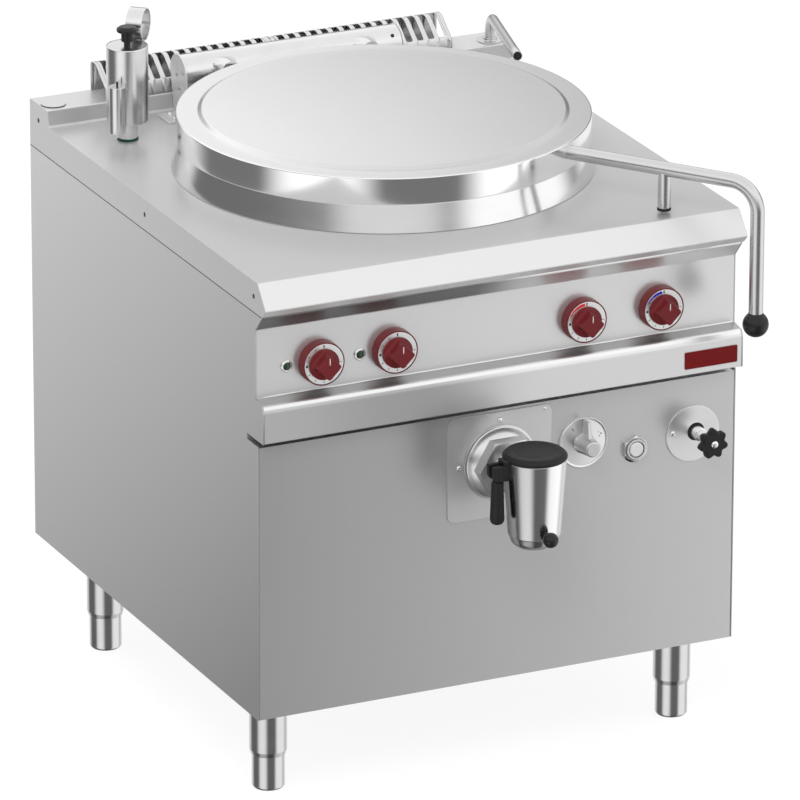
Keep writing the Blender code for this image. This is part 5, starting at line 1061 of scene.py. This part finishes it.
CAMERA_TURN = math.radians(-115.25)
LIGHT_AT, LIGHT_AIM = (-2.2, -3.2, 4.2), (0, 0, 0.5)
CAMERA_AT = -5.4645, -11.5236, 5.2844
CAMERA_ANGLES = 69.359, -0.138, -25.249
FOCAL_LENGTH, LENS_SHIFT = 398.196, 0.006575
FLOOR_BOXES = [(84, 31, 13, 1.05), (-36, 20, 18, 1), (180, 54, 16, 0.75)]
HORIZON_BOXES = [(80, 36, 12, 1), (4, 26, 12, 0.45), (-140, 12, 8, 0.7)]
DIM = 0.17
OVERHEAD = 1.25
FILL = 0.9


def studio_pattern(tree, across, back, boxes):
    """Brightness of the studio in a level direction: dim, with soft boxes that stand at angles
    from the camera. Each is a smooth step of the cosine between the direction and its middle."""
    total = DIM
    for angle, half, soft, strength in boxes:
        turn = CAMERA_TURN + math.radians(angle)
        facing = across * math.cos(turn) + back * math.sin(turn)
        box = facing.step(math.cos(math.radians(half + soft)),
                    math.cos(math.radians(max(half - soft, 0))), 0, strength)
        total = box + total
    return total


def light_path(tree):
    """Whether a ray comes from the camera, off a glossy surface or through glass."""
    names = "Is Camera Ray", "Is Glossy Ray", "Is Transmission Ray"
    return [add_node(tree, "LightPath", {}, [], name) for name in names]


def make_world():
    """The studio by direction: boxes below and beside the machine, and a bright overhead."""
    world = bpy.data.worlds.new("studio")
    bpy.context.scene.world = world
    world.use_nodes = True
    tree = world.node_tree
    ray = add_node(tree, "TexCoord", {}, [], "Generated")
    flat = vector_math(tree, "NORMALIZE", [vector_math(tree, "MULTIPLY", [ray, (1, 1, 0)])])
    across, back, _ = split(tree, flat)
    up = split(tree, ray)[2]
    level = up.step(-0.16, -0.04)
    overhead = up.step(0.12, 0.36)
    zenith = up.step(0.55, 0.9)
    deep = up.step(-0.55, -0.85)
    below = studio_pattern(tree, across, back, FLOOR_BOXES) * (1 - level) * (1 - deep * 0.7)
    beside = studio_pattern(tree, across, back, HORIZON_BOXES) * level * (1 - overhead)
    seen = below + beside + overhead * (OVERHEAD - zenith * 0.15)
    camera, glossy, glass = light_path(tree)
    background = tree.nodes["Background"]
    plug(tree, background.inputs["Color"], 1)
    plug(tree, background.inputs["Strength"],
         camera + glass + glossy * seen + (1 - camera - glossy - glass) * FILL)
    world.cycles.sampling_method = "NONE"


def make_floor():
    """The floor shows white to the camera and keeps the machine's shadow. Metal looks through it
    at the studio's soft boxes."""
    material = bpy.data.materials.new("studio_floor")
    material.use_nodes = True
    tree = material.node_tree
    tree.nodes.remove(tree.nodes["Principled BSDF"])
    camera, glossy, glass = light_path(tree)
    shown = camera + glass
    diffuse = shown * 0.14 + (1 - shown) * 0.75
    grey = add_node(tree, "CombineColor", {}, [diffuse, diffuse, diffuse])
    matt = add_node(tree, "BsdfDiffuse", {}, {"Color": grey})
    light = add_node(tree, "Emission", {}, {"Strength": shown * 0.9})
    solid = add_node(tree, "AddShader", {}, [matt, light])
    clear = add_node(tree, "BsdfTransparent", {}, [])
    both = add_node(tree, "MixShader", {}, [glossy, solid, clear])
    plug(tree, tree.nodes["Material Output"].inputs["Surface"], both)
    material.cycles.emission_sampling = "NONE"
    t = around(96)
    radius = np.array([0, 0.5, 2, 8, 60])[:, None]
    points, quads = grid(joined(radius * np.cos(t), radius * np.sin(t), -0.0005))
    mesh = build_mesh("studio_floor", points, quads, closed=False)
    mesh.materials.append(material)
    place_object("studio_floor", mesh)


make_world()
make_floor()

lamp = bpy.data.lights.new("key_light", "AREA")
lamp.shape = "DISK"
lamp.size = 2.4
lamp.energy = 110
light = place_object("key_light", lamp)
light.location = LIGHT_AT
light.rotation_euler = (Vector(LIGHT_AIM) - Vector(LIGHT_AT)).to_track_quat("-Z", "Y").to_euler()
light.visible_glossy = False

lens = bpy.data.cameras.new("photo_camera")
lens.sensor_width = 36
lens.lens = FOCAL_LENGTH
lens.shift_x = lens.shift_y = LENS_SHIFT
lens.clip_end = 200
camera = place_object("photo_camera", lens)
camera.location = CAMERA_AT
camera.rotation_euler = [math.radians(angle) for angle in CAMERA_ANGLES]
bpy.context.scene.camera = camera
bpy.context.scene.view_settings.view_transform = "Standard"
